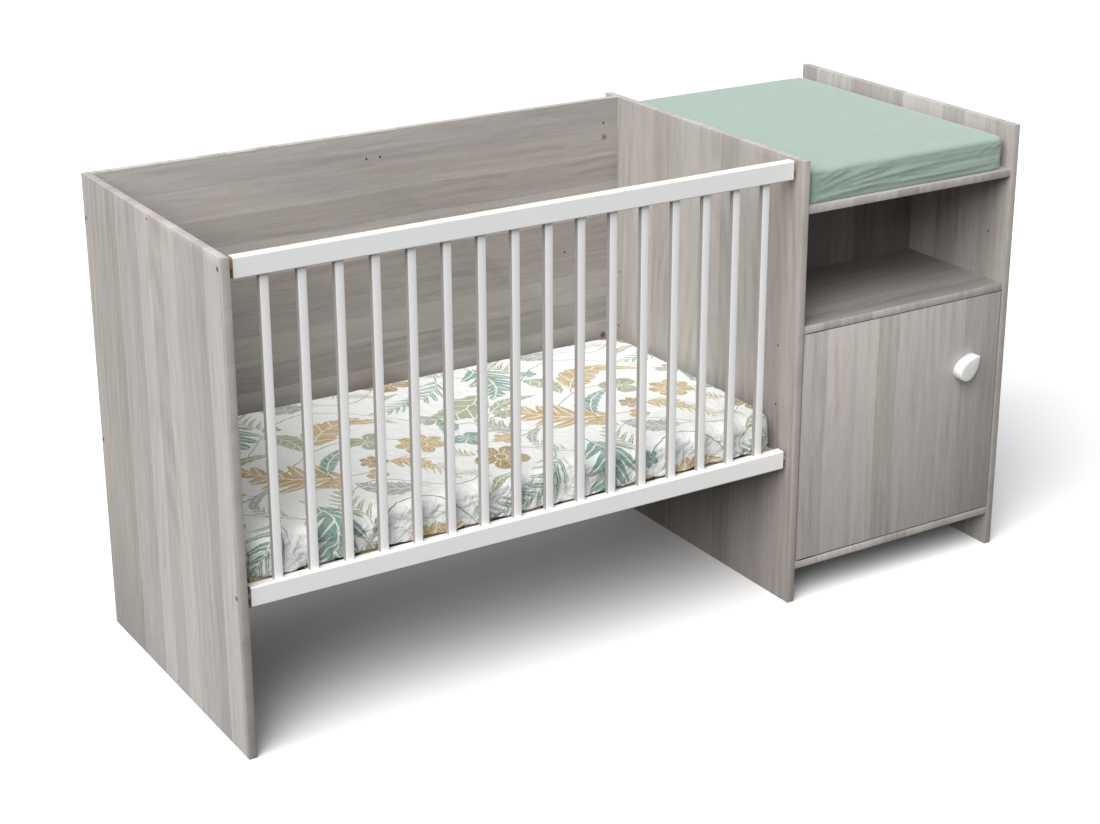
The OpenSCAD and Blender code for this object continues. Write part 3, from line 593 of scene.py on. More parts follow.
def sawn_ends(tree, place):
    """1 on faces that look along the rail."""
    facing = add_node(
        tree, "ShaderNodeSeparateXYZ",
        {"Vector": add_node(tree, "ShaderNodeNewGeometry").outputs["True Normal"]},
    )
    level = add_node(tree, "ShaderNodeMath", {0: facing.outputs["X"]}, operation="ABSOLUTE")
    return add_node(
        tree, "ShaderNodeMath", {0: level.outputs[0], 1: 0.9}, operation="GREATER_THAN",
    ).outputs[0]


def sawn_ends_and_back_edge(tree, place):
    """As sawn_ends, and 1 on a strip along the top rail's upper back edge."""
    back_top = Vector((0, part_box("gate_top_rail")[1].y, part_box("gate_top_rail")[1].z))
    xyz = add_node(tree, "ShaderNodeSeparateXYZ", {"Vector": place})
    ragged = add_node(tree, "ShaderNodeTexNoise", {"Vector": place, "Scale": 14.0, "Detail": 3.0})
    from_back = add_node(
        tree, "ShaderNodeMath", {0: ragged.outputs["Fac"], 1: -4.0 * MM, 2: back_top.y - 3.5 * MM},
        operation="MULTIPLY_ADD",
    )
    near_back = add_node(
        tree, "ShaderNodeMath", {0: xyz.outputs["Y"], 1: from_back.outputs[0]},
        operation="GREATER_THAN",
    )
    near_top = add_node(
        tree, "ShaderNodeMath", {0: xyz.outputs["Z"], 1: back_top.z - 1.6 * MM},
        operation="GREATER_THAN",
    )
    strip = add_node(
        tree, "ShaderNodeMath", {0: near_back.outputs[0], 1: near_top.outputs[0]},
        operation="MULTIPLY",
    )
    return add_node(
        tree, "ShaderNodeMath", {0: strip.outputs[0], 1: sawn_ends(tree, place)},
        operation="MAXIMUM",
    ).outputs[0]


def finish_node(node, finish):
    """A frame node whose shape is already right keeps it and gets a new finish."""
    frame["nodes"][node].data.materials.clear()
    frame["nodes"][node].data.materials.append(finish)


finish_node("gate_top_rail", satin_white("satin_white_top_rail", sawn_ends_and_back_edge))
finish_node("gate_bottom_rail", satin_white("satin_white_bottom_rail", sawn_ends))
print("both rails are satin white")

# %% [markdown]
# ## The gate's slats
# Sixteen equal slats stand in the rails at an even pitch. Each is 18 mm wide with a gently
# bowed front. Their fronts are white and their sides are a flat grey.
# What repeats by a rule is best made by Geometry Nodes: one outline is drawn, drawn out
# to its length, and set on a row of points. The same tree, given other sizes and no bow,
# later makes the planks under the mattress.

# %% One tree for a row of slats
slat_row = bpy.data.node_groups.new("slat_row", "GeometryNodeTree")
slat_row.interface.new_socket("Geometry", in_out="OUTPUT", socket_type="NodeSocketGeometry")
for name, kind in (
    ("Count", "NodeSocketInt"),
    ("First", "NodeSocketVector"),
    ("Pitch", "NodeSocketVector"),
    ("Turn", "NodeSocketRotation"),
    ("Length", "NodeSocketFloat"),
    ("Width", "NodeSocketFloat"),
    ("Thickness", "NodeSocketFloat"),
    ("Bow", "NodeSocketFloat"),
    ("Edge Radius", "NodeSocketFloat"),
    ("Front Finish", "NodeSocketMaterial"),
    ("Side Finish", "NodeSocketMaterial"),
):
    slat_row.interface.new_socket(name, in_out="INPUT", socket_type=kind)
given = add_node(slat_row, "NodeGroupInput").outputs

flat_depth = add_node(
    slat_row, "ShaderNodeMath", {0: given["Thickness"], 1: given["Bow"]}, operation="SUBTRACT",
)
outline = add_node(
    slat_row, "GeometryNodeCurvePrimitiveQuadrilateral",
    {"Width": given["Width"], "Height": flat_depth.outputs[0]},
)
rounded = add_node(
    slat_row, "GeometryNodeFilletCurve",
    {"Curve": outline.outputs[0], "Radius": given["Edge Radius"], "Count": 3}, mode="POLY",
)
spread = add_node(slat_row, "GeometryNodeResampleCurve", {"Curve": rounded.outputs[0], "Count": 44})

# The front side moves forward by the bow, most in its middle and not at its corners.
at = add_node(
    slat_row, "ShaderNodeSeparateXYZ",
    {0: add_node(slat_row, "GeometryNodeInputPosition").outputs[0]},
)
half = add_node(slat_row, "ShaderNodeMath", {0: given["Width"], 1: 0.5}, operation="MULTIPLY")
share = add_node(
    slat_row, "ShaderNodeMath", {0: at.outputs["X"], 1: half.outputs[0]}, operation="DIVIDE",
)
squared = add_node(
    slat_row, "ShaderNodeMath", {0: share.outputs[0], 1: share.outputs[0]}, operation="MULTIPLY",
)
rise = add_node(slat_row, "ShaderNodeMath", {0: 1.0, 1: squared.outputs[0]}, operation="SUBTRACT")
rise = add_node(
    slat_row, "ShaderNodeMath", {0: rise.outputs[0], 1: given["Bow"]}, operation="MULTIPLY",
)
is_front = add_node(slat_row, "ShaderNodeMath", {0: at.outputs["Y"], 1: 0.0}, operation="LESS_THAN")
rise = add_node(
    slat_row, "ShaderNodeMath", {0: rise.outputs[0], 1: is_front.outputs[0]}, operation="MULTIPLY",
)
back = add_node(slat_row, "ShaderNodeMath", {0: rise.outputs[0], 1: -1.0}, operation="MULTIPLY")
forward = add_node(slat_row, "ShaderNodeCombineXYZ", {"Y": back.outputs[0]})
bowed = add_node(
    slat_row, "GeometryNodeSetPosition",
    {"Geometry": spread.outputs[0], "Offset": forward.outputs[0]},
)

# Drawn out straight up: each end of the line gets a copy of the outline, and caps close it.
top = add_node(slat_row, "ShaderNodeCombineXYZ", {"Z": given["Length"]})
stick = add_node(slat_row, "GeometryNodeCurvePrimitiveLine", {"End": top.outputs[0]})
slat = add_node(
    slat_row, "GeometryNodeCurveToMesh",
    {"Curve": stick.outputs[0], "Profile Curve": bowed.outputs[0], "Fill Caps": True},
)
row = add_node(
    slat_row, "GeometryNodeMeshLine",
    {"Count": given["Count"], "Start Location": given["First"], "Offset": given["Pitch"]},
)
placed = add_node(
    slat_row, "GeometryNodeInstanceOnPoints",
    {"Points": row.outputs[0], "Instance": slat.outputs[0], "Rotation": given["Turn"]},
)
real = add_node(slat_row, "GeometryNodeRealizeInstances", {"Geometry": placed.outputs[0]})
fronts = add_node(
    slat_row, "GeometryNodeSetMaterial",
    {"Geometry": real.outputs[0], "Material": given["Front Finish"]},
)
facing = add_node(
    slat_row, "ShaderNodeSeparateXYZ",
    {0: add_node(slat_row, "GeometryNodeInputNormal").outputs[0]},
)
sideways = add_node(slat_row, "ShaderNodeMath", {0: facing.outputs["X"]}, operation="ABSOLUTE")
is_side = add_node(
    slat_row, "FunctionNodeCompare", {0: sideways.outputs[0], 1: 0.8}, data_type="FLOAT",
    operation="GREATER_THAN",
)
sides = add_node(
    slat_row, "GeometryNodeSetMaterial",
    {
        "Geometry": fronts.outputs[0], "Selection": is_side.outputs[0],
        "Material": given["Side Finish"],
    },
)
add_node(slat_row, "NodeGroupOutput", {0: sides.outputs[0]})
print("slat tree has", len(slat_row.nodes), "nodes")


# %% Run a tree and keep the result as a plain mesh
def grown(name, tree, values, smooth_below_deg=35):
    """What a tree makes with these inputs, as an object of its own with no modifier left."""
    seedling = bpy.data.objects.new(name + "_seedling", bpy.data.meshes.new(name + "_seedling"))
    bpy.context.scene.collection.objects.link(seedling)
    modifier = seedling.modifiers.new(name, "NODES")
    modifier.node_group = tree
    for item in tree.interface.items_tree:
        if item.item_type == "SOCKET" and item.in_out == "INPUT" and item.name in values:
            modifier[item.identifier] = values[item.name]
    bpy.context.view_layer.update()
    seen = bpy.context.evaluated_depsgraph_get()
    mesh = bpy.data.meshes.new_from_object(seedling.evaluated_get(seen), depsgraph=seen)
    mesh.name = name
    bpy.data.objects.remove(seedling)
    mesh.shade_smooth()
    mesh.set_sharp_from_angle(angle=math.radians(smooth_below_deg))
    piece = bpy.data.objects.new(name, mesh)
    bpy.context.scene.collection.objects.link(piece)
    return piece


print("the slat tree asks for", [item.name for item in slat_row.interface.items_tree])

# %% Sides of the slats, and the sixteen slats
slat_side_grey, tree = new_material("grey_slat_side")
place = add_node(tree, "ShaderNodeTexCoord").outputs["Object"]
drawn = add_node(
    tree, "ShaderNodeMapping",
    {"Vector": place, "Scale": (1 / (2 * MM), 1 / (2 * MM), 1 / (60 * MM))},
)
fibre = add_node(
    tree, "ShaderNodeTexNoise", {"Vector": drawn.outputs[0], "Scale": 1.0, "Detail": 3.0},
)
grey = add_node(
    tree, "ShaderNodeMix", {0: fibre.outputs["Fac"], 6: linear("#8a8581"), 7: linear("#a5a09c")},
    data_type="RGBA",
)
bump = add_node(
    tree, "ShaderNodeBump", {"Height": fibre.outputs["Fac"], "Strength": 0.2, "Distance": 0.2 * MM},
)
face = add_node(
    tree, "ShaderNodeBsdfPrincipled",
    {"Base Color": grey.outputs[2], "Roughness": 0.7, "Normal": bump.outputs[0]},
)
add_node(tree, "ShaderNodeOutputMaterial", {"Surface": face.outputs[0]})

SLAT_COUNT = 16
first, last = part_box("gate_slat_01"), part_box(f"gate_slat_{SLAT_COUNT}")
slat_size = first[1] - first[0]
SLAT_BOW = 0.7 * MM
pitch = (last[0].x - first[0].x) / (SLAT_COUNT - 1)
slats = grown(
    "gate_slats",
    slat_row,
    {
        "Count": SLAT_COUNT,
        "First": (
            (first[0].x + first[1].x) / 2, (first[0].y + SLAT_BOW + first[1].y) / 2, first[0].z,
        ),
        "Pitch": (pitch, 0, 0),
        "Length": slat_size.z,
        "Width": slat_size.x,
        "Thickness": slat_size.y,
        "Bow": SLAT_BOW,
        "Edge Radius": 1.2 * MM,
        "Front Finish": satin_white("satin_white_slats"),
        "Side Finish": slat_side_grey,
    },
)
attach(slats, "frame")
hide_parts(*[f"gate_slat_{i:02d}" for i in range(1, SLAT_COUNT + 1)])

# %% [markdown]
# ## Raw softwood under the mattress
# The bed's base is planed spruce without any finish: pale yellow, with darker growth lines
# every few millimetres and a dull surface. It is seen through the gaps from below.
# Growth lines are thin shells round the tree's middle. Rings round a far-off axis, cut by
# the plank, give the long flames of a real plank without drawing a single line.


# %% Planed spruce
def spruce(name, along_axis):
    """Unfinished softwood: growth rings about an axis that runs along the plank."""
    material, tree = new_material(name)
    place = add_node(tree, "ShaderNodeTexCoord").outputs["Object"]
    squeeze = [1.0, 1.0, 1.0]
    squeeze[along_axis] = 0.06
    log = add_node(
        tree, "ShaderNodeMapping",
        {"Vector": place, "Scale": squeeze, "Location": (0.03, 0.02, -0.31)},
    )
    rings = add_node(
        tree, "ShaderNodeTexWave",
        {
            "Vector": log.outputs[0], "Scale": 1 / (22 * MM), "Distortion": 3.0, "Detail": 2.0,
            "Detail Scale": 1.5,
        },
        wave_type="RINGS", rings_direction="XYZ"[along_axis],
    )
    narrow = [1 / (1.2 * MM)] * 3
    narrow[along_axis] = 1 / (70 * MM)
    fibre_at = add_node(tree, "ShaderNodeMapping", {"Vector": place, "Scale": narrow})
    fibre = add_node(
        tree, "ShaderNodeTexNoise", {"Vector": fibre_at.outputs[0], "Scale": 1.0, "Detail": 3.0},
    )
    late_wood = add_node(
        tree, "ShaderNodeMath", {0: rings.outputs["Fac"], 1: 2.0}, operation="POWER",
    )
    late_wood = add_node(
        tree, "ShaderNodeMath", {0: late_wood.outputs[0], 1: 0.45}, operation="MULTIPLY",
    )
    tone = add_node(
        tree, "ShaderNodeMath", {0: fibre.outputs["Fac"], 1: 0.5, 2: late_wood.outputs[0]},
        operation="MULTIPLY_ADD",
    )
    wood = add_node(
        tree, "ShaderNodeMix", {0: tone.outputs[0], 6: linear("#cfc0a3"), 7: linear("#a98f6c")},
        data_type="RGBA",
    )
    bump = add_node(
        tree, "ShaderNodeBump",
        {"Height": fibre.outputs["Fac"], "Strength": 0.25, "Distance": 0.3 * MM},
    )
    face = add_node(
        tree, "ShaderNodeBsdfPrincipled",
        {"Base Color": wood.outputs[2], "Roughness": 0.72, "IOR": 1.45, "Normal": bump.outputs[0]},
    )
    add_node(tree, "ShaderNodeOutputMaterial", {"Surface": face.outputs[0]})
    return material


spruce_rail = spruce("planed_spruce_rail", X)
spruce_plank = spruce("planed_spruce_plank", Y)
for node in ("base_front_rail", "base_back_rail"):
    finish_node(node, spruce_rail)
print("base rails are spruce")

# %% [markdown]
# ## The eleven planks
# They repeat at one pitch, as the gate's slats do, so the same tree makes them: without a
# bow, with more rounded edges, and turned so that their length lies front to back.
# Their tops lie a fraction below the screws' heads, which the frame already has.

# %% Planks from the slat tree
PLANK_COUNT = 11
first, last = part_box("base_slat_01"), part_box(f"base_slat_{PLANK_COUNT}")
plank_size = first[1] - first[0]
planks = grown(
    "base_planks",
    slat_row,
    {
        "Count": PLANK_COUNT,
        "First": (
            (first[0].x + first[1].x) / 2, first[1].y, (first[0].z + first[1].z) / 2 - 0.15 * MM,
        ),
        "Pitch": ((last[0].x - first[0].x) / (PLANK_COUNT - 1), 0, 0),
        "Turn": (math.radians(90), 0, 0),
        "Length": plank_size.y,
        "Width": plank_size.x,
        "Thickness": plank_size.z - 0.3 * MM,
        "Bow": 0.0,
        "Edge Radius": 2 * MM,
        "Front Finish": spruce_plank,
        "Side Finish": spruce_plank,
    },
)
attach(planks, "frame")
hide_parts(*[f"base_slat_{i:02d}" for i in range(1, PLANK_COUNT + 1)])

# %% [markdown]
# ## Metal and plastic fittings
# Cam locks, screws, bolts and hinge leaves are steel with a thin zinc coat: a cool grey that
# is cloudy rather than mirror bright, with fine marks from the tumbling drum.
# The magnet catch is moulded white plastic and the spacers between rail and panel are grey
# plastic, smooth and softly shiny. The dowels are of the same pale softwood as the bed's
# base. All of them have their right shape in the frame, so each only needs its finish.

# %% Zinc-plated steel
zinc_steel, tree = new_material("zinc_plated_steel")
place = add_node(tree, "ShaderNodeTexCoord").outputs["Object"]
cloudy = add_node(
    tree, "ShaderNodeTexNoise", {"Vector": place, "Scale": 1 / (6 * MM), "Detail": 4.0},
)
scratched = add_node(
    tree, "ShaderNodeTexNoise", {"Vector": place, "Scale": 1 / (0.6 * MM), "Detail": 2.0},
)
zinc = add_node(
    tree, "ShaderNodeMix", {0: cloudy.outputs["Fac"], 6: linear("#a9adb1"), 7: linear("#cfd2d4")},
    data_type="RGBA",
)
dull = add_node(
    tree, "ShaderNodeMapRange", {"Value": cloudy.outputs["Fac"], "To Min": 0.28, "To Max": 0.5},
)
marks = add_node(
    tree, "ShaderNodeBump",
    {"Height": scratched.outputs["Fac"], "Strength": 0.15, "Distance": 0.05 * MM},
)
face = add_node(
    tree, "ShaderNodeBsdfPrincipled",
    {
        "Base Color": zinc.outputs[2], "Metallic": 1.0, "Roughness": dull.outputs[0],
        "Normal": marks.outputs[0],
    },
)
add_node(tree, "ShaderNodeOutputMaterial", {"Surface": face.outputs[0]})
print("zinc is clouded over 6 mm and scratched over 0.6 mm")

# %% Moulded plastic, and every fitting gets its finish
def moulded_plastic(name, dark, light):
    """Smooth plastic, a little cloudy from the way it flowed into its mould."""
    material, tree = new_material(name)
    place = add_node(tree, "ShaderNodeTexCoord").outputs["Object"]
    flow = add_node(
        tree, "ShaderNodeTexNoise", {"Vector": place, "Scale": 1 / (12 * MM), "Detail": 2.0},
    )
    tint = add_node(
        tree, "ShaderNodeMix", {0: flow.outputs["Fac"], 6: linear(dark), 7: linear(light)},
        data_type="RGBA",
    )
    grain = add_node(tree, "ShaderNodeTexNoise", {"Vector": place, "Scale": 1 / (0.5 * MM)})
    bump = add_node(
        tree, "ShaderNodeBump",
        {"Height": grain.outputs["Fac"], "Strength": 0.1, "Distance": 0.05 * MM},
    )
    face = add_node(
        tree, "ShaderNodeBsdfPrincipled",
        {"Base Color": tint.outputs[2], "Roughness": 0.36, "IOR": 1.53, "Normal": bump.outputs[0]},
    )
    add_node(tree, "ShaderNodeOutputMaterial", {"Surface": face.outputs[0]})
    return material


for node in (
    "base_slat_screws",
    "cam_locks",
    "cam_bolts",
    "panel_screws",
    "knob_screw",
    "door_hinge_leaves",
    "door_small_screws",
    "frame_hinge_leaves",
    "frame_small_screws",
    "catch_strike",
):
    finish_node(node, zinc_steel)
finish_node("magnet_catch", moulded_plastic("moulded_white_plastic", "#dcdcd8", "#e9e9e6"))
finish_node("gate_spacers", moulded_plastic("moulded_grey_plastic", "#8b8580", "#9a948e"))
finish_node("wood_dowels", spruce_rail)
print("fittings finished")

# %% [markdown]
# ## The door's knob
# A drop-shaped disc of white lacquered wood: a round end, two sides that sweep to a soft
# point, a rounded rim and a face that is very slightly domed.
# A cut-out drop with a bevel would keep the face flat and the rim even. Here the drop's
# outline is worked out from its two radii and laid down in rings from the door outwards,
# so that the rim's rounding and the dome are one smooth skin.

# %% Loft the knob in rings
KNOB_ROUND = 20.6 * MM
KNOB_REACH = 46.7 * MM
KNOB_TILT = math.radians(45)
KNOB_RIM = 3.0 * MM
KNOB_DOME = 0.8 * MM
KNOB_SHARP_DEG = 50
knob_low, knob_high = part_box("door_knob")
KNOB_DEPTH = knob_high.y - knob_low.y
# The box holds the round end at its left and bottom, which gives the middle of the round end.
knob_middle = Vector((knob_low.x + KNOB_ROUND, knob_high.y, knob_low.z + KNOB_ROUND))


def drop_outline(inset, count=96):
    """Points round the drop, in its own plane with the point along +x, moved in by inset."""
    radius, tip = KNOB_ROUND - inset, KNOB_REACH - 1.9 * inset
    side = (tip**2 + radius**2) / (2 * radius)
    points = []
    for k in range(count):
        turn = 2 * math.pi * k / count
        if math.cos(turn) <= 0:
            points.append((radius * math.cos(turn), radius * math.sin(turn)))
        else:
            along = tip * math.cos(turn) ** 0.85 if k else tip
            width = math.sqrt(max(side**2 - along**2, 0)) - (side - radius)
            soft_tip = 1 - 0.03 * math.exp(-(((tip - along) / (3 * MM)) ** 2))
            points.append((along * soft_tip, math.copysign(max(width, 0.0), math.sin(turn))))
    return points


# Each ring: how far in from the outline it lies, and how far forward of the door.
side_ends = KNOB_DEPTH - KNOB_DOME - KNOB_RIM
rings = [(0.35 * MM, 0.0), (0.0, 0.4 * MM), (0.0, KNOB_DEPTH * 0.5), (0.0, side_ends)]
for step in range(1, 7):
    turn = math.radians(90 * step / 6)
    rings.append((KNOB_RIM * (1 - math.cos(turn)), side_ends + KNOB_RIM * math.sin(turn)))
for inset in (6 * MM, 10 * MM, 15 * MM):
    outwards = (KNOB_ROUND - inset - KNOB_RIM) / (KNOB_ROUND - KNOB_RIM)
    rings.append((inset, KNOB_DEPTH - KNOB_DOME * outwards**2))

bm = bmesh.new()
turn_x, turn_z = math.cos(KNOB_TILT), math.sin(KNOB_TILT)
loops = []
for inset, forward in rings:
    loop = []
    for u, v in drop_outline(inset):
        loop.append(
            bm.verts.new(
                knob_middle + Vector((u * turn_x - v * turn_z, -forward, u * turn_z + v * turn_x))
            )
        )
    loops.append(loop)
for lower, upper in zip(loops, loops[1:]):
    for k in range(len(lower)):
        bm.faces.new((lower[k], lower[k - 1], upper[k - 1], upper[k]))
bm.faces.new(loops[0])
crown = bm.verts.new(knob_middle + Vector((2 * MM, -KNOB_DEPTH, 2 * MM)))
for k in range(len(loops[-1])):
    bm.faces.new((loops[-1][k], loops[-1][k - 1], crown))
bmesh.ops.remove_doubles(bm, verts=bm.verts, dist=MERGE_DISTANCE)
bmesh.ops.recalc_face_normals(bm, faces=bm.faces)
mesh = bpy.data.meshes.new("drop_knob")
bm.to_mesh(mesh)
bm.free()
mesh.shade_smooth()
mesh.set_sharp_from_angle(angle=math.radians(KNOB_SHARP_DEG))
mesh.materials.append(satin_white("satin_white_knob", dark="#d9d9d8", light="#e3e2e1"))
knob = bpy.data.objects.new("drop_knob", mesh)
bpy.context.scene.collection.objects.link(knob)
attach(knob, "door")
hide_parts("door_knob")
print("knob stands", round(KNOB_DEPTH / MM, 1), "mm proud,", len(mesh.polygons), "faces")

# %% [markdown]
# ## How the soft pieces are made
# The mattress and the changing mat are foam blocks, and each wears a fitted cover: a cloth
# that is a little larger than the block, pulled tight under it by a gathered hem.
# A cover could be the block's shape with a bumpy material, but real cloth lies flat where
# it is pulled and puckers where there is too much of it. So the cover starts as a smooth
# skin over the block, its sides are made a few per cent too long, its hem is held under
# the block, and a cloth simulation lets it settle. The puckers form by themselves.


# %% A rounded block's skin: a top of even cells, then rings down its sides
def block_skin(half_x, half_y, corner, cell, profile, crown):
    """Corners, faces and flat-cloth coordinates of a skin. The top is 2 half_x by 2 half_y
    with round corners and rises by crown in its middle; profile lists how far outwards and
    how high each ring below lies."""
    columns, rows = round(2 * half_x / cell), round(2 * half_y / cell)
    points, flat, faces = [], [], []

    def rounded(x, y):
        over_x, over_y = (abs(x) - half_x + corner) / corner, (abs(y) - half_y + corner) / corner
        if over_x > 0 and over_y > 0:
            x = math.copysign(half_x - corner + corner * over_x * math.sqrt(1 - over_y**2 / 2), x)
            y = math.copysign(half_y - corner + corner * over_y * math.sqrt(1 - over_x**2 / 2), y)
        return x, y

    for j in range(rows + 1):
        for i in range(columns + 1):
            x, y = rounded(half_x * (2 * i / columns - 1), half_y * (2 * j / rows - 1))
            rise = crown * (1 - abs(x / half_x) ** 3) * (1 - abs(y / half_y) ** 3)
            points.append((x, y, profile[0][1] + rise))
            flat.append((x, y))
    at = lambda i, j: j * (columns + 1) + i
    for j in range(rows):
        for i in range(columns):
            faces.append((at(i, j), at(i + 1, j), at(i + 1, j + 1), at(i, j + 1)))
    rim = [at(i, 0) for i in range(columns)] + [at(columns, j) for j in range(rows)]
    rim += [at(i, rows) for i in range(columns, 0, -1)] + [at(0, j) for j in range(rows, 0, -1)]
    outward = []
    for k in rim:
        x, y = points[k][0], points[k][1]
        past_x, past_y = max(abs(x) - half_x + corner, 0), max(abs(y) - half_y + corner, 0)
        outward.append(Vector((math.copysign(past_x, x), math.copysign(past_y, y))).normalized())
    ring_above, travelled = rim, 0.0
    for (out_0, z_0), (out_1, z_1) in zip(profile, profile[1:]):
        travelled += math.hypot(out_1 - out_0, z_1 - z_0)
        ring = []
        for k, n in zip(rim, outward):
            ring.append(len(points))
            # Under the block the rings shrink as a whole, or they would cross at the corners.
            if out_1 >= 0:
                x, y = points[k][0] + n.x * out_1, points[k][1] + n.y * out_1
            else:
                x, y = points[k][0] * (1 + out_1 / half_x), points[k][1] * (1 + out_1 / half_y)
            points.append((x, y, z_1))
            flat.append((points[k][0] + n.x * travelled, points[k][1] + n.y * travelled))
        for k in range(len(rim)):
            faces.append((ring_above[k - 1], ring[k - 1], ring[k], ring_above[k]))
        ring_above = ring
    return points, faces, flat, ring_above, travelled


def side_profile(edge, top, bottom, foot, tuck, cell, bulge=0.0):
    """From the flat top over a round edge, down the side, round the foot and in under the block."""
    steps = [(0.0, top)]
    count = max(3, round(edge * math.pi / 2 / cell))
    for k in range(1, count + 1):
        turn = math.pi / 2 * k / count
        steps.append((edge * math.sin(turn), top - edge * (1 - math.cos(turn))))
    height = top - edge - bottom - foot
    count = max(2, round(height / cell))
    for k in range(1, count + 1):
        share = k / count
        steps.append((edge + bulge * math.sin(math.pi * share), top - edge - height * share))
    for k in range(1, 4):
        turn = math.pi / 2 * k / 3
        steps.append((edge - foot * (1 - math.cos(turn)), bottom + foot * (1 - math.sin(turn))))
    count = max(2, round(tuck / cell))
    for k in range(1, count + 1):
        steps.append((edge - foot - tuck * k / count, bottom))
    return steps


def skin_object(name, middle, points, faces, flat):
    """The skin as an object at the origin. Its UV map holds the flat cloth, in metres."""
    mesh = bpy.data.meshes.new(name)
    mesh.from_pydata([tuple(Vector(p) + middle) for p in points], [], faces)
    cut = mesh.uv_layers.new(name="flat_cloth")
    for loop in mesh.loops:
        cut.uv[loop.index].vector = flat[loop.vertex_index]
    mesh.shade_smooth()
    piece = bpy.data.objects.new(name, mesh)
    bpy.context.scene.collection.objects.link(piece)
    return piece


FOOT_SHARE = 0.35  # how much smaller the lower edge's rounding is than the upper one's
FOAM_PULLS_IN = -1.5 * MM


def closed_block(name, low, high, corner, edge, cell, crown):
    """A foam block: rounded edges, sides that pull in a little and a top that crowns."""
    middle = Vector(((low.x + high.x) / 2, (low.y + high.y) / 2, 0))
    half_x, half_y = (high.x - low.x) / 2 - edge, (high.y - low.y) / 2 - edge
    profile = side_profile(
        edge=edge, top=high.z - crown, bottom=low.z, foot=edge * FOOT_SHARE, tuck=0.5 * cell,
        cell=cell, bulge=FOAM_PULLS_IN,
    )
    points, faces, flat, rim, _ = block_skin(half_x, half_y, corner, cell, profile, crown)
    piece = skin_object(name, middle, points, faces, flat)
    bm = bmesh.new()
    bm.from_mesh(piece.data)
    bm.verts.ensure_lookup_table()
    bm.faces.new([bm.verts[k] for k in reversed(rim)])
    bm.to_mesh(piece.data)
    bm.free()
    return piece


print("the sides of a foam block pull in by", -FOAM_PULLS_IN / MM, "mm")

# %% Let a cover settle on its block
CLOTH_START_JITTER = 0.25 * MM
FOAM_SKIN = 0.8 * MM
CLOTH_GAP = 1.0 * MM


def settle(cover, block, held, slack, slack_top, slack_side, frames, keep_in, weave):
    """Cloth simulation of a cover. held are the points of its hem, slack the share of each
    point between top and side, and keep_in how far it may swell from where it began."""
    began = np.array([v.co for v in cover.data.vertices])
    jitter = np.random.default_rng(7).normal(0, CLOTH_START_JITTER, began.shape)
    for v, shift in zip(cover.data.vertices, jitter):
        v.co = Vector(v.co) + Vector(shift)
    pins = cover.vertex_groups.new(name="hem")
    pins.add([int(k) for k in held], 1.0, "REPLACE")
    loose = cover.vertex_groups.new(name="loose")
    for k, share in enumerate(slack):
        loose.add([k], float(share), "REPLACE")
    solid = block.modifiers.new("solid", "COLLISION")
    block.collision.thickness_outer = FOAM_SKIN
    block.collision.cloth_friction = 12
    cloth = cover.modifiers.new("settle", "CLOTH")
    cloth.settings.quality = 5
    cloth.settings.mass = 0.18
    cloth.settings.tension_stiffness = cloth.settings.compression_stiffness = weave
    cloth.settings.shear_stiffness = weave * 0.4
    cloth.settings.bending_stiffness = 0.25
    cloth.settings.air_damping = 2.0
    cloth.settings.vertex_group_mass = "hem"
    cloth.settings.vertex_group_shrink = "loose"
    cloth.settings.shrink_min = -slack_top
    cloth.settings.shrink_max = -slack_side
    cloth.collision_settings.distance_min = CLOTH_GAP
    cloth.collision_settings.collision_quality = 2
    scene = bpy.context.scene
    scene.frame_start, scene.frame_end = 1, frames
    for frame_number in range(1, frames + 1):
        scene.frame_set(frame_number)
    seen = bpy.context.evaluated_depsgraph_get()
    settled = bpy.data.meshes.new_from_object(cover.evaluated_get(seen), depsgraph=seen)
    ended = np.array([v.co for v in settled.vertices])
    moved = ended - began
    far = np.linalg.norm(moved, axis=1)
    ended = began + moved * np.minimum(1, keep_in / np.maximum(far, 1e-9))[:, None]
    cover.modifiers.remove(cloth)
    block.modifiers.remove(solid)
    cover.vertex_groups.clear()
    scene.frame_set(1)
    cover.data.vertices.foreach_set("co", ended.astype(np.float32).ravel())
    cover.data.update()
    print(
        cover.name, "settled: moved", round(far.mean() / MM, 1), "mm on average, at most",
        round(far.max() / MM, 1), "mm",
    )


# %% Gathers down the sides of a cover
NOT_ON_SIDE = 1 * MM
FADE_IN = 8 * MM


def gather(cover, half_x, half_y, middle, span, depth, fold_width, fold_height, lean):
    """Lift the sides off the block in puffs with a sharp crease between them, as gathered
    cloth has. span is the height where they start and where they are deepest, and lean how
    far a fold drifts as it falls."""
    start, full = span
    for v in cover.data.vertices:
        x, y, z = v.co.x - middle.x, v.co.y - middle.y, v.co.z
        past_x, past_y = max(abs(x) - half_x, 0), max(abs(y) - half_y, 0)
        outward = Vector((math.copysign(past_x, x), math.copysign(past_y, y), 0))
        if z > start or outward.length < NOT_ON_SIDE:
            continue
        deep = min(1.0, (start - z) / (start - full)) * min(1.0, outward.length / FADE_IN)
        along = (x + 3 * y) if abs(y) > half_y else (y + 3 * x)
        drift = lean * z / fold_height
        fold = noise.noise(Vector((along / fold_width + drift, z / fold_height, 0.5)))
        crease_width = fold_width * 0.45
        crease = noise.noise(Vector((along / crease_width - drift, z / fold_height, 7.5)))
        lifted = min(1.0, 1.8 * abs(fold) + 0.7 * abs(crease))
        v.co += outward.normalized() * deep * depth * lifted
    cover.data.update()
    print(cover.name, "gathered in folds about", round(fold_width / MM), "mm wide")


# %% A rolled hem round the opening under a block
HEM_WIDTH, HEM_THICKNESS, HEM_SIDES = 6 * MM, 1.2 * MM, 8


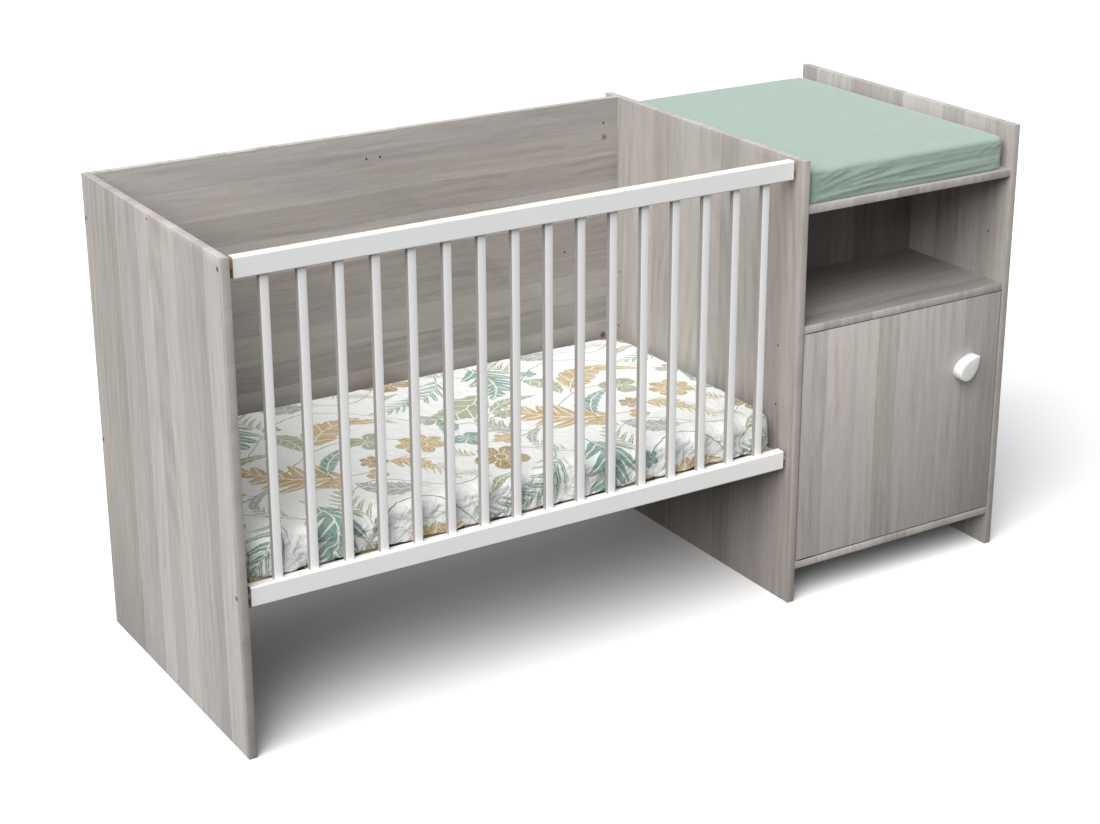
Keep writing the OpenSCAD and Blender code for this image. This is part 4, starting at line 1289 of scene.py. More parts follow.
def rolled_hem(name, cover, rim):
    """A flat tube along the cover's last ring of points, puckered by its elastic."""
    path = [cover.data.vertices[k].co.copy() for k in rim]
    bm = bmesh.new()
    on_cloth = bm.loops.layers.uv.new("flat_cloth")
    rings, travelled = [], 0.0
    for k, at in enumerate(path):
        ahead = (path[(k + 1) % len(path)] - path[k - 1]).normalized()
        outwards = ahead.cross(Vector((0, 0, 1))).normalized()
        wide = HEM_WIDTH / 2 * (1 + 0.18 * math.sin(k * 2.4))
        high = HEM_THICKNESS / 2 * (1 + 0.15 * math.sin(k * 2.4))
        ring = []
        for step in range(HEM_SIDES):
            turn = math.tau * step / HEM_SIDES
            lift = Vector((0, 0, HEM_THICKNESS * 0.2 + high * math.sin(turn)))
            ring.append(bm.verts.new(at + outwards * wide * math.cos(turn) + lift))
        rings.append(ring)
    for k, ring in enumerate(rings):
        before = rings[k - 1]
        length = (path[k] - path[k - 1]).length
        for step in range(HEM_SIDES):
            other = (step + 1) % HEM_SIDES
            hem_face = bm.faces.new((before[step], before[other], ring[other], ring[step]))
            across = HEM_WIDTH * step / HEM_SIDES
            corners = (
                (travelled, across), (travelled, across + 1 * MM),
                (travelled + length, across + 1 * MM), (travelled + length, across),
            )
            for corner, spot in zip(hem_face.loops, corners):
                corner[on_cloth].uv = spot
        travelled += length
    bmesh.ops.recalc_face_normals(bm, faces=bm.faces)
    mesh = bpy.data.meshes.new(name)
    bm.to_mesh(mesh)
    bm.free()
    mesh.shade_smooth()
    hem = bpy.data.objects.new(name, mesh)
    bpy.context.scene.collection.objects.link(hem)
    print(name, "is", round(travelled, 2), "m long")
    return hem


# %% [markdown]
# ## The mattress
# A foam cot mattress, 1200 by 600 mm and about 70 mm thick, in a white quilted ticking. The
# sheet hides it from above, so what shows is its underside between the planks.

# %% The foam block in its ticking
SHEET_GAP = 1.8 * MM
sheet_low, sheet_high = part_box("fitted_sheet")
inset = Vector((SHEET_GAP, SHEET_GAP, SHEET_GAP))
SHEET_CORNER = 30 * MM
SHEET_EDGE = 22 * MM
SHEET_CROWN = 4 * MM
mattress = closed_block(
    "mattress_in_ticking", sheet_low + inset, sheet_high - inset,
    corner=SHEET_CORNER, edge=SHEET_EDGE, cell=15 * MM, crown=SHEET_CROWN,
)

# Woven ticking is dull, and its quilting seams draw it in on a grid of 70 mm diamonds.
ticking, tree = new_material("quilted_white_ticking")
place = add_node(tree, "ShaderNodeTexCoord").outputs["Object"]
turned = add_node(
    tree, "ShaderNodeMapping",
    {"Vector": place, "Rotation": (0, 0, math.radians(45)), "Scale": (1 / (70 * MM),) * 3},
)
quilt = add_node(
    tree, "ShaderNodeTexVoronoi", {"Vector": turned.outputs[0], "Scale": 1.0, "Randomness": 0.0},
    voronoi_dimensions="2D", feature="DISTANCE_TO_EDGE",
)
stitch = add_node(
    tree, "ShaderNodeMapRange",
    {"Value": quilt.outputs["Distance"], "From Min": 0.0, "From Max": 0.16},
)
yarn = add_node(tree, "ShaderNodeTexNoise", {"Vector": place, "Scale": 1 / (1.2 * MM)})
off_white = add_node(
    tree, "ShaderNodeMix", {0: yarn.outputs["Fac"], 6: linear("#dcdad4"), 7: linear("#ecebe6")},
    data_type="RGBA",
)
puff = add_node(
    tree, "ShaderNodeBump", {"Height": stitch.outputs[0], "Strength": 0.6, "Distance": 3 * MM},
)
puff = add_node(
    tree, "ShaderNodeBump",
    {
        "Height": yarn.outputs["Fac"], "Strength": 0.2, "Distance": 0.3 * MM,
        "Normal": puff.outputs[0],
    },
)
face = add_node(
    tree, "ShaderNodeBsdfPrincipled",
    {
        "Base Color": off_white.outputs[2], "Roughness": 0.9, "Sheen Weight": 0.2,
        "Normal": puff.outputs[0],
    },
)
add_node(tree, "ShaderNodeOutputMaterial", {"Surface": face.outputs[0]})
mattress.data.materials.append(ticking)
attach(mattress, "mattress")
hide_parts("mattress_core")
print("mattress block has", len(mattress.data.polygons), "faces")

# %% [markdown]
# ## The fitted sheet
# Thin printed cotton, cut 1.41 by 0.81 m with a square out of each corner, seamed there and
# gathered by elastic in its hem. Its top is nearly smooth, its long sides pucker. The
# simulation gives the broad puffs; the sharp creases between them, which a cloth of this
# many cells is too coarse for, are pressed in afterwards by one rule for all four sides.

# %% Cut the sheet and let it settle
SHEET_CELL = 9 * MM
SHEET_TUCK = 42 * MM
CLOTH_LIFT = 0.6 * MM  # how far the cloth lies above its own box's lower face
ON_HEM = 0.1 * MM
middle = Vector(((sheet_low.x + sheet_high.x) / 2, (sheet_low.y + sheet_high.y) / 2, 0))
half_x = (sheet_high.x - sheet_low.x) / 2 - SHEET_EDGE
half_y = (sheet_high.y - sheet_low.y) / 2 - SHEET_EDGE
profile = side_profile(
    edge=SHEET_EDGE, top=sheet_high.z - SHEET_CROWN, bottom=sheet_low.z + CLOTH_LIFT,
    foot=5 * MM, tuck=SHEET_TUCK, cell=6 * MM,
)
points, faces, flat, opening, side_cloth = block_skin(
    half_x, half_y, SHEET_CORNER, SHEET_CELL, profile, SHEET_CROWN
)
sheet = skin_object("fitted_sheet_cloth", middle, points, faces, flat)
heights = np.array([p[2] for p in points])
slack = np.clip((sheet_high.z - 6 * MM - heights) / (14 * MM), 0, 1)
tucked = [k for k, p in enumerate(points) if p[2] < sheet_low.z + CLOTH_LIFT + ON_HEM]
settle(
    sheet, mattress, tucked, slack,
    slack_top=0.012, slack_side=0.10, frames=20, keep_in=9 * MM, weave=12,
)
gather(
    sheet, half_x, half_y, middle, span=(sheet_high.z - 1 * MM, sheet_low.z + 30 * MM),
    depth=9 * MM, fold_width=40 * MM, fold_height=70 * MM, lean=1.0,
)
sheet_hem = rolled_hem("fitted_sheet_hem", sheet, opening)
print("sheet has", len(faces), "cells")

# %% [markdown]
# ## The sheet's print
# Leaves, sprays and blossoms in ochre, sage and teal stand loosely over white cotton,
# joined by thin winding stems. Printed cloth repeats after every turn of the printing
# screen. Here one repeat is 600 by 480 mm, and its motifs are drawn by two node groups: a
# leaf with leaflets along a bent rib, and a blossom with petals round a heart. Each motif
# is one of these groups at its own place, turn and size. It could be painted as an image,
# but a drawn shape stays sharp however near the eye comes.

# %% A leaf: leaflets along a bent rib, drawn in a square from -1 to 1
leaf = bpy.data.node_groups.new("printed_leaf", "ShaderNodeTree")
leaf.interface.new_socket("Place", in_out="INPUT", socket_type="NodeSocketVector")
for name in ("Leaflets", "Slant", "Fullness", "Reach"):
    leaf.interface.new_socket(name, in_out="INPUT", socket_type="NodeSocketFloat")
for name in ("Ink", "Pale"):
    leaf.interface.new_socket(name, in_out="OUTPUT", socket_type="NodeSocketFloat")
given = add_node(leaf, "NodeGroupInput").outputs
xyz = add_node(leaf, "ShaderNodeSeparateXYZ", {"Vector": given["Place"]}).outputs
x_squared = add_node(
    leaf, "ShaderNodeMath", {0: xyz[0], 1: xyz[0]}, operation="MULTIPLY",
).outputs[0]
bent = add_node(
    leaf, "ShaderNodeMath", {0: x_squared, 1: 0.28, 2: xyz[1]}, operation="MULTIPLY_ADD",
).outputs[0]
from_rib = add_node(leaf, "ShaderNodeMath", {0: bent}, operation="ABSOLUTE").outputs[0]
left = add_node(leaf, "ShaderNodeMath", {0: bent, 1: 0.0}, operation="GREATER_THAN").outputs[0]
half_step = add_node(leaf, "ShaderNodeMath", {0: left, 1: 0.5}, operation="MULTIPLY").outputs[0]
slanted = add_node(
    leaf, "ShaderNodeMath", {0: from_rib, 1: given["Slant"]}, operation="MULTIPLY",
).outputs[0]
root = add_node(leaf, "ShaderNodeMath", {0: xyz[0], 1: slanted}, operation="SUBTRACT").outputs[0]
step = add_node(
    leaf, "ShaderNodeMath", {0: root, 1: given["Leaflets"], 2: half_step}, operation="MULTIPLY_ADD",
).outputs[0]
beside = add_node(leaf, "ShaderNodeMath", {0: step, 1: 0.5}, operation="PINGPONG").outputs[0]
beside = add_node(leaf, "ShaderNodeMath", {0: beside, 1: 2.0}, operation="MULTIPLY").outputs[0]
spread = add_node(
    leaf, "ShaderNodeMath", {0: beside, 1: given["Fullness"]}, operation="DIVIDE",
).outputs[0]
spread = add_node(leaf, "ShaderNodeMath", {0: spread, 1: 2.0}, operation="POWER").outputs[0]
tooth = add_node(leaf, "ShaderNodeMath", {0: 1.0, 1: spread}, operation="SUBTRACT").outputs[0]
round_end = add_node(
    leaf, "ShaderNodeMath", {0: 1.0, 1: x_squared}, operation="SUBTRACT",
).outputs[0]
round_end = add_node(leaf, "ShaderNodeMath", {0: round_end, 1: 0.65}, operation="POWER").outputs[0]
taper = add_node(
    leaf, "ShaderNodeMath", {0: xyz[0], 1: -0.4, 2: 1.0}, operation="MULTIPLY_ADD",
).outputs[0]
reach = add_node(
    leaf, "ShaderNodeMath", {0: round_end, 1: given["Reach"]}, operation="MULTIPLY",
).outputs[0]
reach = add_node(leaf, "ShaderNodeMath", {0: reach, 1: taper}, operation="MULTIPLY").outputs[0]
reach = add_node(leaf, "ShaderNodeMath", {0: reach, 1: tooth}, operation="MULTIPLY").outputs[0]
inside = add_node(leaf, "ShaderNodeMath", {0: reach, 1: from_rib}, operation="SUBTRACT").outputs[0]
blade = add_node(
    leaf, "ShaderNodeMapRange", {"Value": inside, "From Min": 0.0, "From Max": 0.025},
).outputs[0]
along_stem = add_node(
    leaf, "ShaderNodeMath", {0: xyz[0], 1: -0.2, 2: 1.15}, operation="COMPARE",
).outputs[0]
on_stem = add_node(leaf, "ShaderNodeMath", {0: from_rib, 1: 0.02}, operation="LESS_THAN").outputs[0]
stem = add_node(
    leaf, "ShaderNodeMath", {0: along_stem, 1: on_stem}, operation="MULTIPLY",
).outputs[0]
ink = add_node(leaf, "ShaderNodeMath", {0: blade, 1: stem}, operation="MAXIMUM").outputs[0]
vein = add_node(leaf, "ShaderNodeMath", {0: beside, 1: 0.11}, operation="LESS_THAN").outputs[0]
vein = add_node(leaf, "ShaderNodeMath", {0: vein, 1: on_stem}, operation="MAXIMUM").outputs[0]
vein = add_node(leaf, "ShaderNodeMath", {0: vein, 1: blade}, operation="MULTIPLY").outputs[0]
add_node(leaf, "NodeGroupOutput", {"Ink": ink, "Pale": vein})
print("leaf drawn with", len(leaf.nodes), "nodes")

# %% A blossom: petals round a heart, drawn in the same square
blossom = bpy.data.node_groups.new("printed_blossom", "ShaderNodeTree")
blossom.interface.new_socket("Place", in_out="INPUT", socket_type="NodeSocketVector")
for name in ("Petals", "Notch", "Heart"):
    blossom.interface.new_socket(name, in_out="INPUT", socket_type="NodeSocketFloat")
for name in ("Ink", "Pale"):
    blossom.interface.new_socket(name, in_out="OUTPUT", socket_type="NodeSocketFloat")
given = add_node(blossom, "NodeGroupInput").outputs
xyz = add_node(blossom, "ShaderNodeSeparateXYZ", {"Vector": given["Place"]}).outputs
radius = add_node(
    blossom, "ShaderNodeVectorMath", {0: given["Place"]}, operation="LENGTH",
).outputs["Value"]
around = add_node(blossom, "ShaderNodeMath", {0: xyz[1], 1: xyz[0]}, operation="ARCTAN2").outputs[0]
around = add_node(
    blossom, "ShaderNodeMath", {0: around, 1: math.tau}, operation="DIVIDE",
).outputs[0]
petal = add_node(
    blossom, "ShaderNodeMath", {0: around, 1: given["Petals"]}, operation="MULTIPLY",
).outputs[0]
beside = add_node(blossom, "ShaderNodeMath", {0: petal, 1: 0.5}, operation="PINGPONG").outputs[0]
beside = add_node(blossom, "ShaderNodeMath", {0: beside, 1: 2.0}, operation="MULTIPLY").outputs[0]
cut_in = add_node(blossom, "ShaderNodeMath", {0: beside, 1: 2.5}, operation="POWER").outputs[0]
cut_in = add_node(
    blossom, "ShaderNodeMath", {0: cut_in, 1: given["Notch"]}, operation="MULTIPLY",
).outputs[0]
rim = add_node(blossom, "ShaderNodeMath", {0: 1.0, 1: cut_in}, operation="SUBTRACT").outputs[0]
inside = add_node(blossom, "ShaderNodeMath", {0: rim, 1: radius}, operation="SUBTRACT").outputs[0]
disc = add_node(
    blossom, "ShaderNodeMapRange", {"Value": inside, "From Min": 0.0, "From Max": 0.04},
).outputs[0]
from_heart = add_node(
    blossom, "ShaderNodeMath", {0: radius, 1: given["Heart"]}, operation="SUBTRACT",
).outputs[0]
outside_heart = add_node(
    blossom, "ShaderNodeMath", {0: from_heart, 1: 0.04}, operation="GREATER_THAN",
).outputs[0]
between = add_node(
    blossom, "ShaderNodeMath", {0: beside, 1: 0.93}, operation="GREATER_THAN",
).outputs[0]
gap = add_node(
    blossom, "ShaderNodeMath", {0: between, 1: outside_heart}, operation="MULTIPLY",
).outputs[0]
ink = add_node(
    blossom, "ShaderNodeMath", {0: disc, 1: gap}, operation="SUBTRACT", use_clamp=True,
).outputs[0]
ring = add_node(
    blossom, "ShaderNodeMath", {0: from_heart, 1: 0.02, 2: 0.025}, operation="COMPARE",
).outputs[0]
stroke = add_node(
    blossom, "ShaderNodeMath", {0: beside, 1: 0.4, 2: 0.05}, operation="COMPARE",
).outputs[0]
short = add_node(
    blossom, "ShaderNodeMath", {0: from_heart, 1: 0.3, 2: 0.2}, operation="COMPARE",
).outputs[0]
stroke = add_node(blossom, "ShaderNodeMath", {0: stroke, 1: short}, operation="MULTIPLY").outputs[0]
pale = add_node(blossom, "ShaderNodeMath", {0: ring, 1: stroke}, operation="MAXIMUM").outputs[0]
add_node(blossom, "NodeGroupOutput", {"Ink": ink, "Pale": pale})
print("blossom drawn with", len(blossom.nodes), "nodes")

# %% Which motifs, how large, in which ink
OCHRE, BROWN, SAGE, TEAL, SMOKE = "#c0a56c", "#a2874d", "#9aa485", "#749a90", "#a3a9a0"
BROAD = {"Leaflets": 2.6, "Slant": 0.75, "Fullness": 2.1, "Reach": 0.5}
LOBED = {"Leaflets": 2.4, "Slant": 0.9, "Fullness": 1.12, "Reach": 0.6}
SPRAY = {"Leaflets": 3.1, "Slant": 1.1, "Fullness": 0.66, "Reach": 0.52}
SLIM = {"Leaflets": 3.4, "Slant": 0.9, "Fullness": 2.4, "Reach": 0.24}
DAISY = {"Petals": 7.0, "Notch": 0.34, "Heart": 0.26}
ROSE = {"Petals": 5.0, "Notch": 0.42, "Heart": 0.2}
CLOVER = {"Petals": 3.0, "Notch": 0.62, "Heart": 0.08}
# Each motif: its group and shape, its size in millimetres and its ink.
motifs = (
    (leaf, LOBED, 112, OCHRE), (leaf, BROAD, 92, SAGE),
    (leaf, LOBED, 98, TEAL), (leaf, BROAD, 84, OCHRE),
    (blossom, DAISY, 50, OCHRE), (blossom, ROSE, 58, BROWN),
    (leaf, SPRAY, 84, TEAL), (leaf, SPRAY, 70, SAGE),
    (leaf, SLIM, 76, TEAL), (leaf, SLIM, 70, SAGE),
    (blossom, CLOVER, 46, SAGE), (blossom, CLOVER, 38, TEAL),
    (leaf, LOBED, 60, SMOKE), (blossom, DAISY, 30, BROWN),
    (leaf, BROAD, 56, SAGE), (leaf, SPRAY, 52, OCHRE),
    (leaf, SLIM, 54, OCHRE), (blossom, ROSE, 26, OCHRE),
    (leaf, BROAD, 44, TEAL), (leaf, SPRAY, 46, SMOKE),
    (blossom, ROSE, 20, TEAL), (leaf, SLIM, 44, SMOKE),
    (leaf, SPRAY, 40, BROWN), (blossom, CLOVER, 24, OCHRE),
    (leaf, BROAD, 62, SMOKE), (leaf, SPRAY, 62, TEAL),
    (blossom, DAISY, 24, SAGE), (leaf, SLIM, 40, SAGE),
    (leaf, LOBED, 50, OCHRE), (blossom, CLOVER, 28, SMOKE),
    (leaf, SPRAY, 34, SAGE), (leaf, BROAD, 34, OCHRE),
)
LEAF_ROOM = 0.6  # a leaf is slimmer than the circle round it
print(len(motifs), "motifs, the largest", max(size for _, _, size, _ in motifs), "mm across")

# %% Push the motifs apart until each has its own room
REPEAT = np.array((600 * MM, 480 * MM))
PUSHES = 400
ROOM_BETWEEN = 1.12
dice = np.random.default_rng(12)
centres = dice.random((len(motifs), 2)) * REPEAT
turns = dice.random(len(motifs)) * math.tau
room = np.array([size * MM * (LEAF_ROOM if group == leaf else 1.0) for group, _, size, _ in motifs])
for _ in range(PUSHES):
    apart = centres[:, None] - centres[None]
    apart -= REPEAT * np.round(apart / REPEAT)
    distance = np.linalg.norm(apart, axis=2) + np.eye(len(motifs))
    overlap = np.clip((room[:, None] + room[None]) * ROOM_BETWEEN - distance, 0, None)
    overlap *= 1 - np.eye(len(motifs))
    centres += 0.2 * (apart / distance[..., None] * overlap[..., None]).sum(axis=1)
centres %= REPEAT
print(len(motifs), "motifs placed, worst overlap", round(overlap.max() / MM, 1), "mm")

# %% The cotton with its print
# Woven cotton is matt with a faint sheen, and screen-printed ink soaks in: it has no gloss
# of its own, its edges are a little shaky and its tone is watery.
cotton, tree = new_material("printed_cotton_cloth")
on_cloth = add_node(tree, "ShaderNodeUVMap", uv_map="flat_cloth").outputs[0]
shaky = add_node(
    tree, "ShaderNodeTexNoise", {"Vector": on_cloth, "Scale": 1 / (16 * MM), "Detail": 1.0},
)
brush = add_node(
    tree, "ShaderNodeVectorMath", {0: shaky.outputs["Color"], 1: (7 * MM, 7 * MM, 0), 2: on_cloth},
    operation="MULTIPLY_ADD",
).outputs[0]
uv = add_node(tree, "ShaderNodeSeparateXYZ", {"Vector": brush}).outputs
colour = add_node(tree, "ShaderNodeRGB").outputs[0]
colour.default_value = linear("#eff1ef")

# Each winding stem is a sine wave over one repeat: its height, its waves and its ink.
for start, waves, sway, ink_code in (
    (0.1, 1, 0.17, SAGE), (0.45, 2, 0.1, SMOKE), (0.8, 1, 0.24, SAGE),
):
    phase = add_node(
        tree, "ShaderNodeMath", {0: uv[0], 1: math.tau * waves / REPEAT[0], 2: start * 9},
        operation="MULTIPLY_ADD",
    ).outputs[0]
    wave = add_node(tree, "ShaderNodeMath", {0: phase}, operation="SINE").outputs[0]
    level = add_node(
        tree, "ShaderNodeMath", {0: wave, 1: sway, 2: start}, operation="MULTIPLY_ADD",
    ).outputs[0]
    height = add_node(
        tree, "ShaderNodeMath", {0: uv[1], 1: 1 / REPEAT[1], 2: level}, operation="MULTIPLY_ADD",
    ).outputs[0]
    away = add_node(tree, "ShaderNodeMath", {0: height, 1: 0.5}, operation="PINGPONG").outputs[0]
    thin = add_node(
        tree, "ShaderNodeMapRange",
        {"Value": away, "From Min": 2.6 * MM, "From Max": 3.8 * MM, "To Min": 1.0, "To Max": 0.0},
    ).outputs[0]
    colour = add_node(
        tree, "ShaderNodeMix", {0: thin, 6: colour, 7: linear(ink_code)}, data_type="RGBA",
    ).outputs[2]

half_repeat = (REPEAT[0] / 2, REPEAT[1] / 2, 0.0)
speckle = add_node(
    tree, "ShaderNodeTexVoronoi", {"Vector": on_cloth, "Scale": 1 / (7 * MM)},
    voronoi_dimensions="2D",
)
speck = add_node(
    tree, "ShaderNodeMath", {0: speckle.outputs["Distance"], 1: 0.24}, operation="LESS_THAN",
).outputs[0]
watery = add_node(
    tree, "ShaderNodeTexNoise", {"Vector": on_cloth, "Scale": 1 / (35 * MM), "Detail": 3.0},
)
wash = add_node(
    tree, "ShaderNodeMapRange",
    {
        "Value": watery.outputs["Fac"], "From Min": 0.3, "From Max": 0.7, "To Min": 0.72,
        "To Max": 0.98,
    },
).outputs[0]
for (group, values, size, ink_code), centre, turn in zip(motifs, centres, turns):
    from_centre = add_node(
        tree, "ShaderNodeVectorMath", {0: brush, 1: (*centre, 0.0)}, operation="SUBTRACT",
    ).outputs[0]
    nearest = add_node(
        tree, "ShaderNodeVectorMath",
        {0: from_centre, 1: half_repeat, 2: [-h for h in half_repeat]}, operation="WRAP",
    ).outputs[0]
    own = add_node(
        tree, "ShaderNodeMapping",
        {"Vector": nearest, "Rotation": (0, 0, turn), "Scale": (1 / (size * MM),) * 3},
    ).outputs[0]
    drawn = add_node(tree, "ShaderNodeGroup", {}, node_tree=group)
    tree.links.new(own, drawn.inputs["Place"])
    for name, value in values.items():
        drawn.inputs[name].default_value = value
    inked = add_node(
        tree, "ShaderNodeMix",
        {0: drawn.outputs["Pale"], 6: linear(ink_code), 7: linear("#e4e2d6")}, data_type="RGBA",
    ).outputs[2]
    amount = add_node(
        tree, "ShaderNodeMath", {0: drawn.outputs["Ink"], 1: wash}, operation="MULTIPLY",
    ).outputs[0]
    colour = add_node(
        tree, "ShaderNodeMix", {0: amount, 6: colour, 7: inked}, data_type="RGBA",
    ).outputs[2]
specked = add_node(tree, "ShaderNodeMath", {0: speck, 1: 0.3}, operation="MULTIPLY").outputs[0]
colour = add_node(
    tree, "ShaderNodeMix", {0: specked, 6: colour, 7: colour}, data_type="RGBA",
    blend_type="MULTIPLY",
).outputs[2]

# Threads of 0.3 mm would only shimmer at this distance, so the weave is drawn at 1.5 mm.
weave = add_node(
    tree, "ShaderNodeTexNoise", {"Vector": on_cloth, "Scale": 1 / (1.5 * MM), "Detail": 1.0},
)
crinkle = add_node(
    tree, "ShaderNodeTexNoise",
    {"Vector": on_cloth, "Scale": 1 / (24 * MM), "Detail": 3.0, "Distortion": 1.0},
)
# The gathered sides are more crumpled than the top. Their finest wrinkles, which the mesh
# is too coarse for, shade one another, so the cloth there is a little darker as well.
upright = add_node(
    tree, "ShaderNodeSeparateXYZ",
    {"Vector": add_node(tree, "ShaderNodeNewGeometry").outputs["Normal"]},
)
crumple = add_node(
    tree, "ShaderNodeMapRange",
    {
        "Value": upright.outputs["Z"], "From Min": 0.3, "From Max": 0.9, "To Min": 15 * MM,
        "To Max": 6 * MM,
    },
)
shaded = add_node(
    tree, "ShaderNodeMapRange",
    {
        "Value": upright.outputs["Z"], "From Min": 0.3, "From Max": 0.9, "To Min": 0.84,
        "To Max": 1.02,
    },
)
colour = add_node(
    tree, "ShaderNodeVectorMath", {0: colour, "Scale": shaded.outputs[0]}, operation="SCALE",
).outputs[0]
relief = add_node(
    tree, "ShaderNodeBump",
    {"Height": crinkle.outputs["Fac"], "Strength": 0.8, "Distance": crumple.outputs[0]},
)
relief = add_node(
    tree, "ShaderNodeBump",
    {
        "Height": weave.outputs["Fac"], "Strength": 0.12, "Distance": 0.4 * MM,
        "Normal": relief.outputs[0],
    },
)
face = add_node(
    tree, "ShaderNodeBsdfPrincipled",
    {"Base Color": colour, "Roughness": 0.9, "Sheen Weight": 0.15, "Normal": relief.outputs[0]},
)
add_node(tree, "ShaderNodeOutputMaterial", {"Surface": face.outputs[0]})
print("cotton has", len(tree.nodes), "nodes")

# %% Finish the sheet
smooth = sheet.modifiers.new("even_folds", "SUBSURF")
smooth.levels = smooth.render_levels = 1
for piece in (sheet, sheet_hem):
    piece.data.materials.append(cotton)
    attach(piece, "mattress")
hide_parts("fitted_sheet")

# %% [markdown]
# ## The changing mat
# A foam block, about 520 by 690 by 70 mm, in a green towelling cover that is gathered
# under it like the sheet. The cover fits more closely: its top is smooth, and its spare
# cloth collects low down, as long flat creases along the front that fan out of a corner.
# Those creases are too deliberate to wait for in a simulation. So the cover settles first,
# and then the creases are pressed in where they are seen.

# %% The foam and its cover
PAD_CELL = 7 * MM
PAD_EDGE = 9 * MM
PAD_CORNER = 7 * MM
PAD_CROWN = 3 * MM
PAD_TUCK = 36 * MM
cover_low, cover_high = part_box("pad_cover")
inset = Vector((SHEET_GAP, SHEET_GAP, SHEET_GAP))
pad_foam = closed_block(
    "changing_mat_foam", cover_low + inset, cover_high - inset,
    corner=PAD_CORNER, edge=PAD_EDGE, cell=12 * MM, crown=PAD_CROWN,
)
pad_middle = Vector(((cover_low.x + cover_high.x) / 2, (cover_low.y + cover_high.y) / 2, 0))
pad_half_x = (cover_high.x - cover_low.x) / 2 - PAD_EDGE
pad_half_y = (cover_high.y - cover_low.y) / 2 - PAD_EDGE
profile = side_profile(
    edge=PAD_EDGE, top=cover_high.z - PAD_CROWN, bottom=cover_low.z + CLOTH_LIFT,
    foot=6 * MM, tuck=PAD_TUCK, cell=4 * MM, bulge=1.0 * MM,
)
points, faces, flat, opening, pad_side_cloth = block_skin(
    pad_half_x, pad_half_y, PAD_CORNER, PAD_CELL, profile, PAD_CROWN
)
pad_cover = skin_object("changing_mat_cover", pad_middle, points, faces, flat)
heights = np.array([p[2] for p in points])
slack = np.clip((cover_high.z - 22 * MM - heights) / (20 * MM), 0, 1)
tucked = [k for k, p in enumerate(points) if p[2] < cover_low.z + CLOTH_LIFT + ON_HEM]
settle(
    pad_cover, pad_foam, tucked, slack,
    slack_top=0.0, slack_side=0.035, frames=16, keep_in=5 * MM, weave=14,
)
print("mat cover has", len(faces), "cells")

# %% Press the creases in
# Each crease: where it starts and ends along the front, its height there, its depth and width.
FRONT_CREASES = (
    (0.356, 0.700, 0.870, 0.897, 5.5 * MM, 5 * MM),
    (0.356, 0.560, 0.874, 0.914, 4.5 * MM, 5 * MM),
    (0.520, 0.868, 0.880, 0.884, 5.0 * MM, 4 * MM),
    (0.356, 0.450, 0.884, 0.926, 3.0 * MM, 5 * MM),
    (0.640, 0.866, 0.893, 0.899, 1.4 * MM, 5 * MM),
)


def crease_push(along, height):
    """How far a point of the front moves outwards: in at a crease, out in the roll above it."""
    push = 0.0
    for start, end, low, high, depth, width in FRONT_CREASES:
        share = (along - start) / (end - start)
        if 0 < share < 1:
            line = low + (high - low) * share**0.7
            away = (height - line) / width
            fade = math.sin(math.pi * share) ** 0.5
            push += fade * depth * (0.7 * math.exp(-((away - 1.7) ** 2) / 2) - math.exp(-(away**2)))
    return push


for v in pad_cover.data.vertices:
    x, y, z = v.co
    side_x, side_y = abs(x - pad_middle.x) - pad_half_x, abs(y - pad_middle.y) - pad_half_y
    if max(side_x, side_y) < PAD_EDGE * 0.7 or z < cover_low.z + 3 * MM:
        continue
    low_down = min(1.0, max(0.0, (cover_high.z - 20 * MM - z) / (25 * MM)))
    along = x if side_y > side_x else y
    wrinkle = noise.noise(
        Vector((along / (130 * MM), z / (14 * MM), side_x > side_y))
    ) * 0.9 * MM * low_down
    if side_y > side_x:
        front = y < pad_middle.y
        v.co.y += math.copysign(wrinkle + (crease_push(x, z) if front else 0.0), y - pad_middle.y)
    else:
        v.co.x += math.copysign(wrinkle, x - pad_middle.x)
pad_cover.data.update()
cover_hem = rolled_hem("changing_mat_cover_hem", pad_cover, opening)
print(len(FRONT_CREASES), "creases pressed into the front")

# %% Towelling and foam
# Towelling is knitted cotton with a pile of short loops: quite matt, with a soft pale sheen
# at glancing angles. Cut foam is cream, dull and full of tiny open cells.
towelling, tree = new_material("green_cotton_towelling")
on_cloth = add_node(tree, "ShaderNodeUVMap", uv_map="flat_cloth").outputs[0]
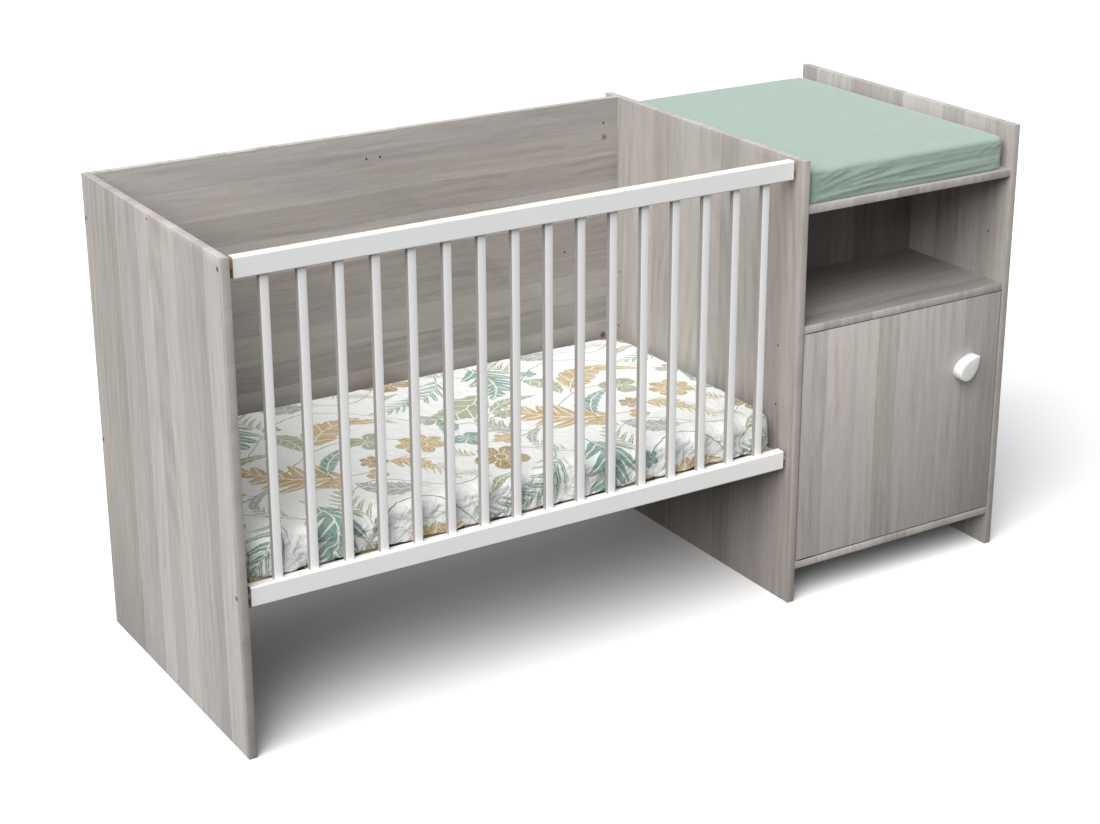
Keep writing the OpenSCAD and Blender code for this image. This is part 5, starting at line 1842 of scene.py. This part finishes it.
# Loops of 0.5 mm would only shimmer at this distance, so they are drawn at 2 mm.
loops = add_node(
    tree, "ShaderNodeTexVoronoi", {"Vector": on_cloth, "Scale": 1 / (2 * MM)},
    voronoi_dimensions="2D",
)
nap = add_node(
    tree, "ShaderNodeTexNoise", {"Vector": on_cloth, "Scale": 1 / (60 * MM), "Detail": 4.0},
)
green = add_node(
    tree, "ShaderNodeMix", {0: nap.outputs["Fac"], 6: linear("#8ca095"), 7: linear("#96aa9f")},
    data_type="RGBA",
).outputs[2]
soft = add_node(
    tree, "ShaderNodeBump", {"Height": nap.outputs["Fac"], "Strength": 0.3, "Distance": 4 * MM},
)
pile = add_node(
    tree, "ShaderNodeBump",
    {
        "Height": loops.outputs["Distance"], "Strength": 0.15, "Distance": 0.8 * MM,
        "Normal": soft.outputs[0],
    },
)
face = add_node(
    tree, "ShaderNodeBsdfPrincipled",
    {
        "Base Color": green, "Roughness": 0.95, "Sheen Weight": 0.25, "Sheen Roughness": 0.5,
        "Normal": pile.outputs[0],
    },
)
add_node(tree, "ShaderNodeOutputMaterial", {"Surface": face.outputs[0]})

foam, tree = new_material("cut_foam")
place = add_node(tree, "ShaderNodeTexCoord").outputs["Object"]
cells = add_node(tree, "ShaderNodeTexVoronoi", {"Vector": place, "Scale": 1 / (2 * MM)})
cream = add_node(
    tree, "ShaderNodeMix",
    {0: cells.outputs["Distance"], 6: linear("#d6cfae"), 7: linear("#e9e4cb")}, data_type="RGBA",
).outputs[2]
pores = add_node(
    tree, "ShaderNodeBump",
    {"Height": cells.outputs["Distance"], "Strength": 0.4, "Distance": 0.5 * MM},
)
face = add_node(
    tree, "ShaderNodeBsdfPrincipled",
    {"Base Color": cream, "Roughness": 0.95, "Normal": pores.outputs[0]},
)
add_node(tree, "ShaderNodeOutputMaterial", {"Surface": face.outputs[0]})

smooth = pad_cover.modifiers.new("even_folds", "SUBSURF")
smooth.levels = smooth.render_levels = 1
for piece, finish, stands_for, slot in (
    (pad_foam, foam, "pad_core", "foam"),
    (pad_cover, towelling, "pad_cover", "green_towelling"),
    (cover_hem, towelling, None, "green_towelling"),
):
    piece.data.materials.append(finish)
    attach(piece, "changing_pad")
    if stands_for:
        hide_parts(stands_for)
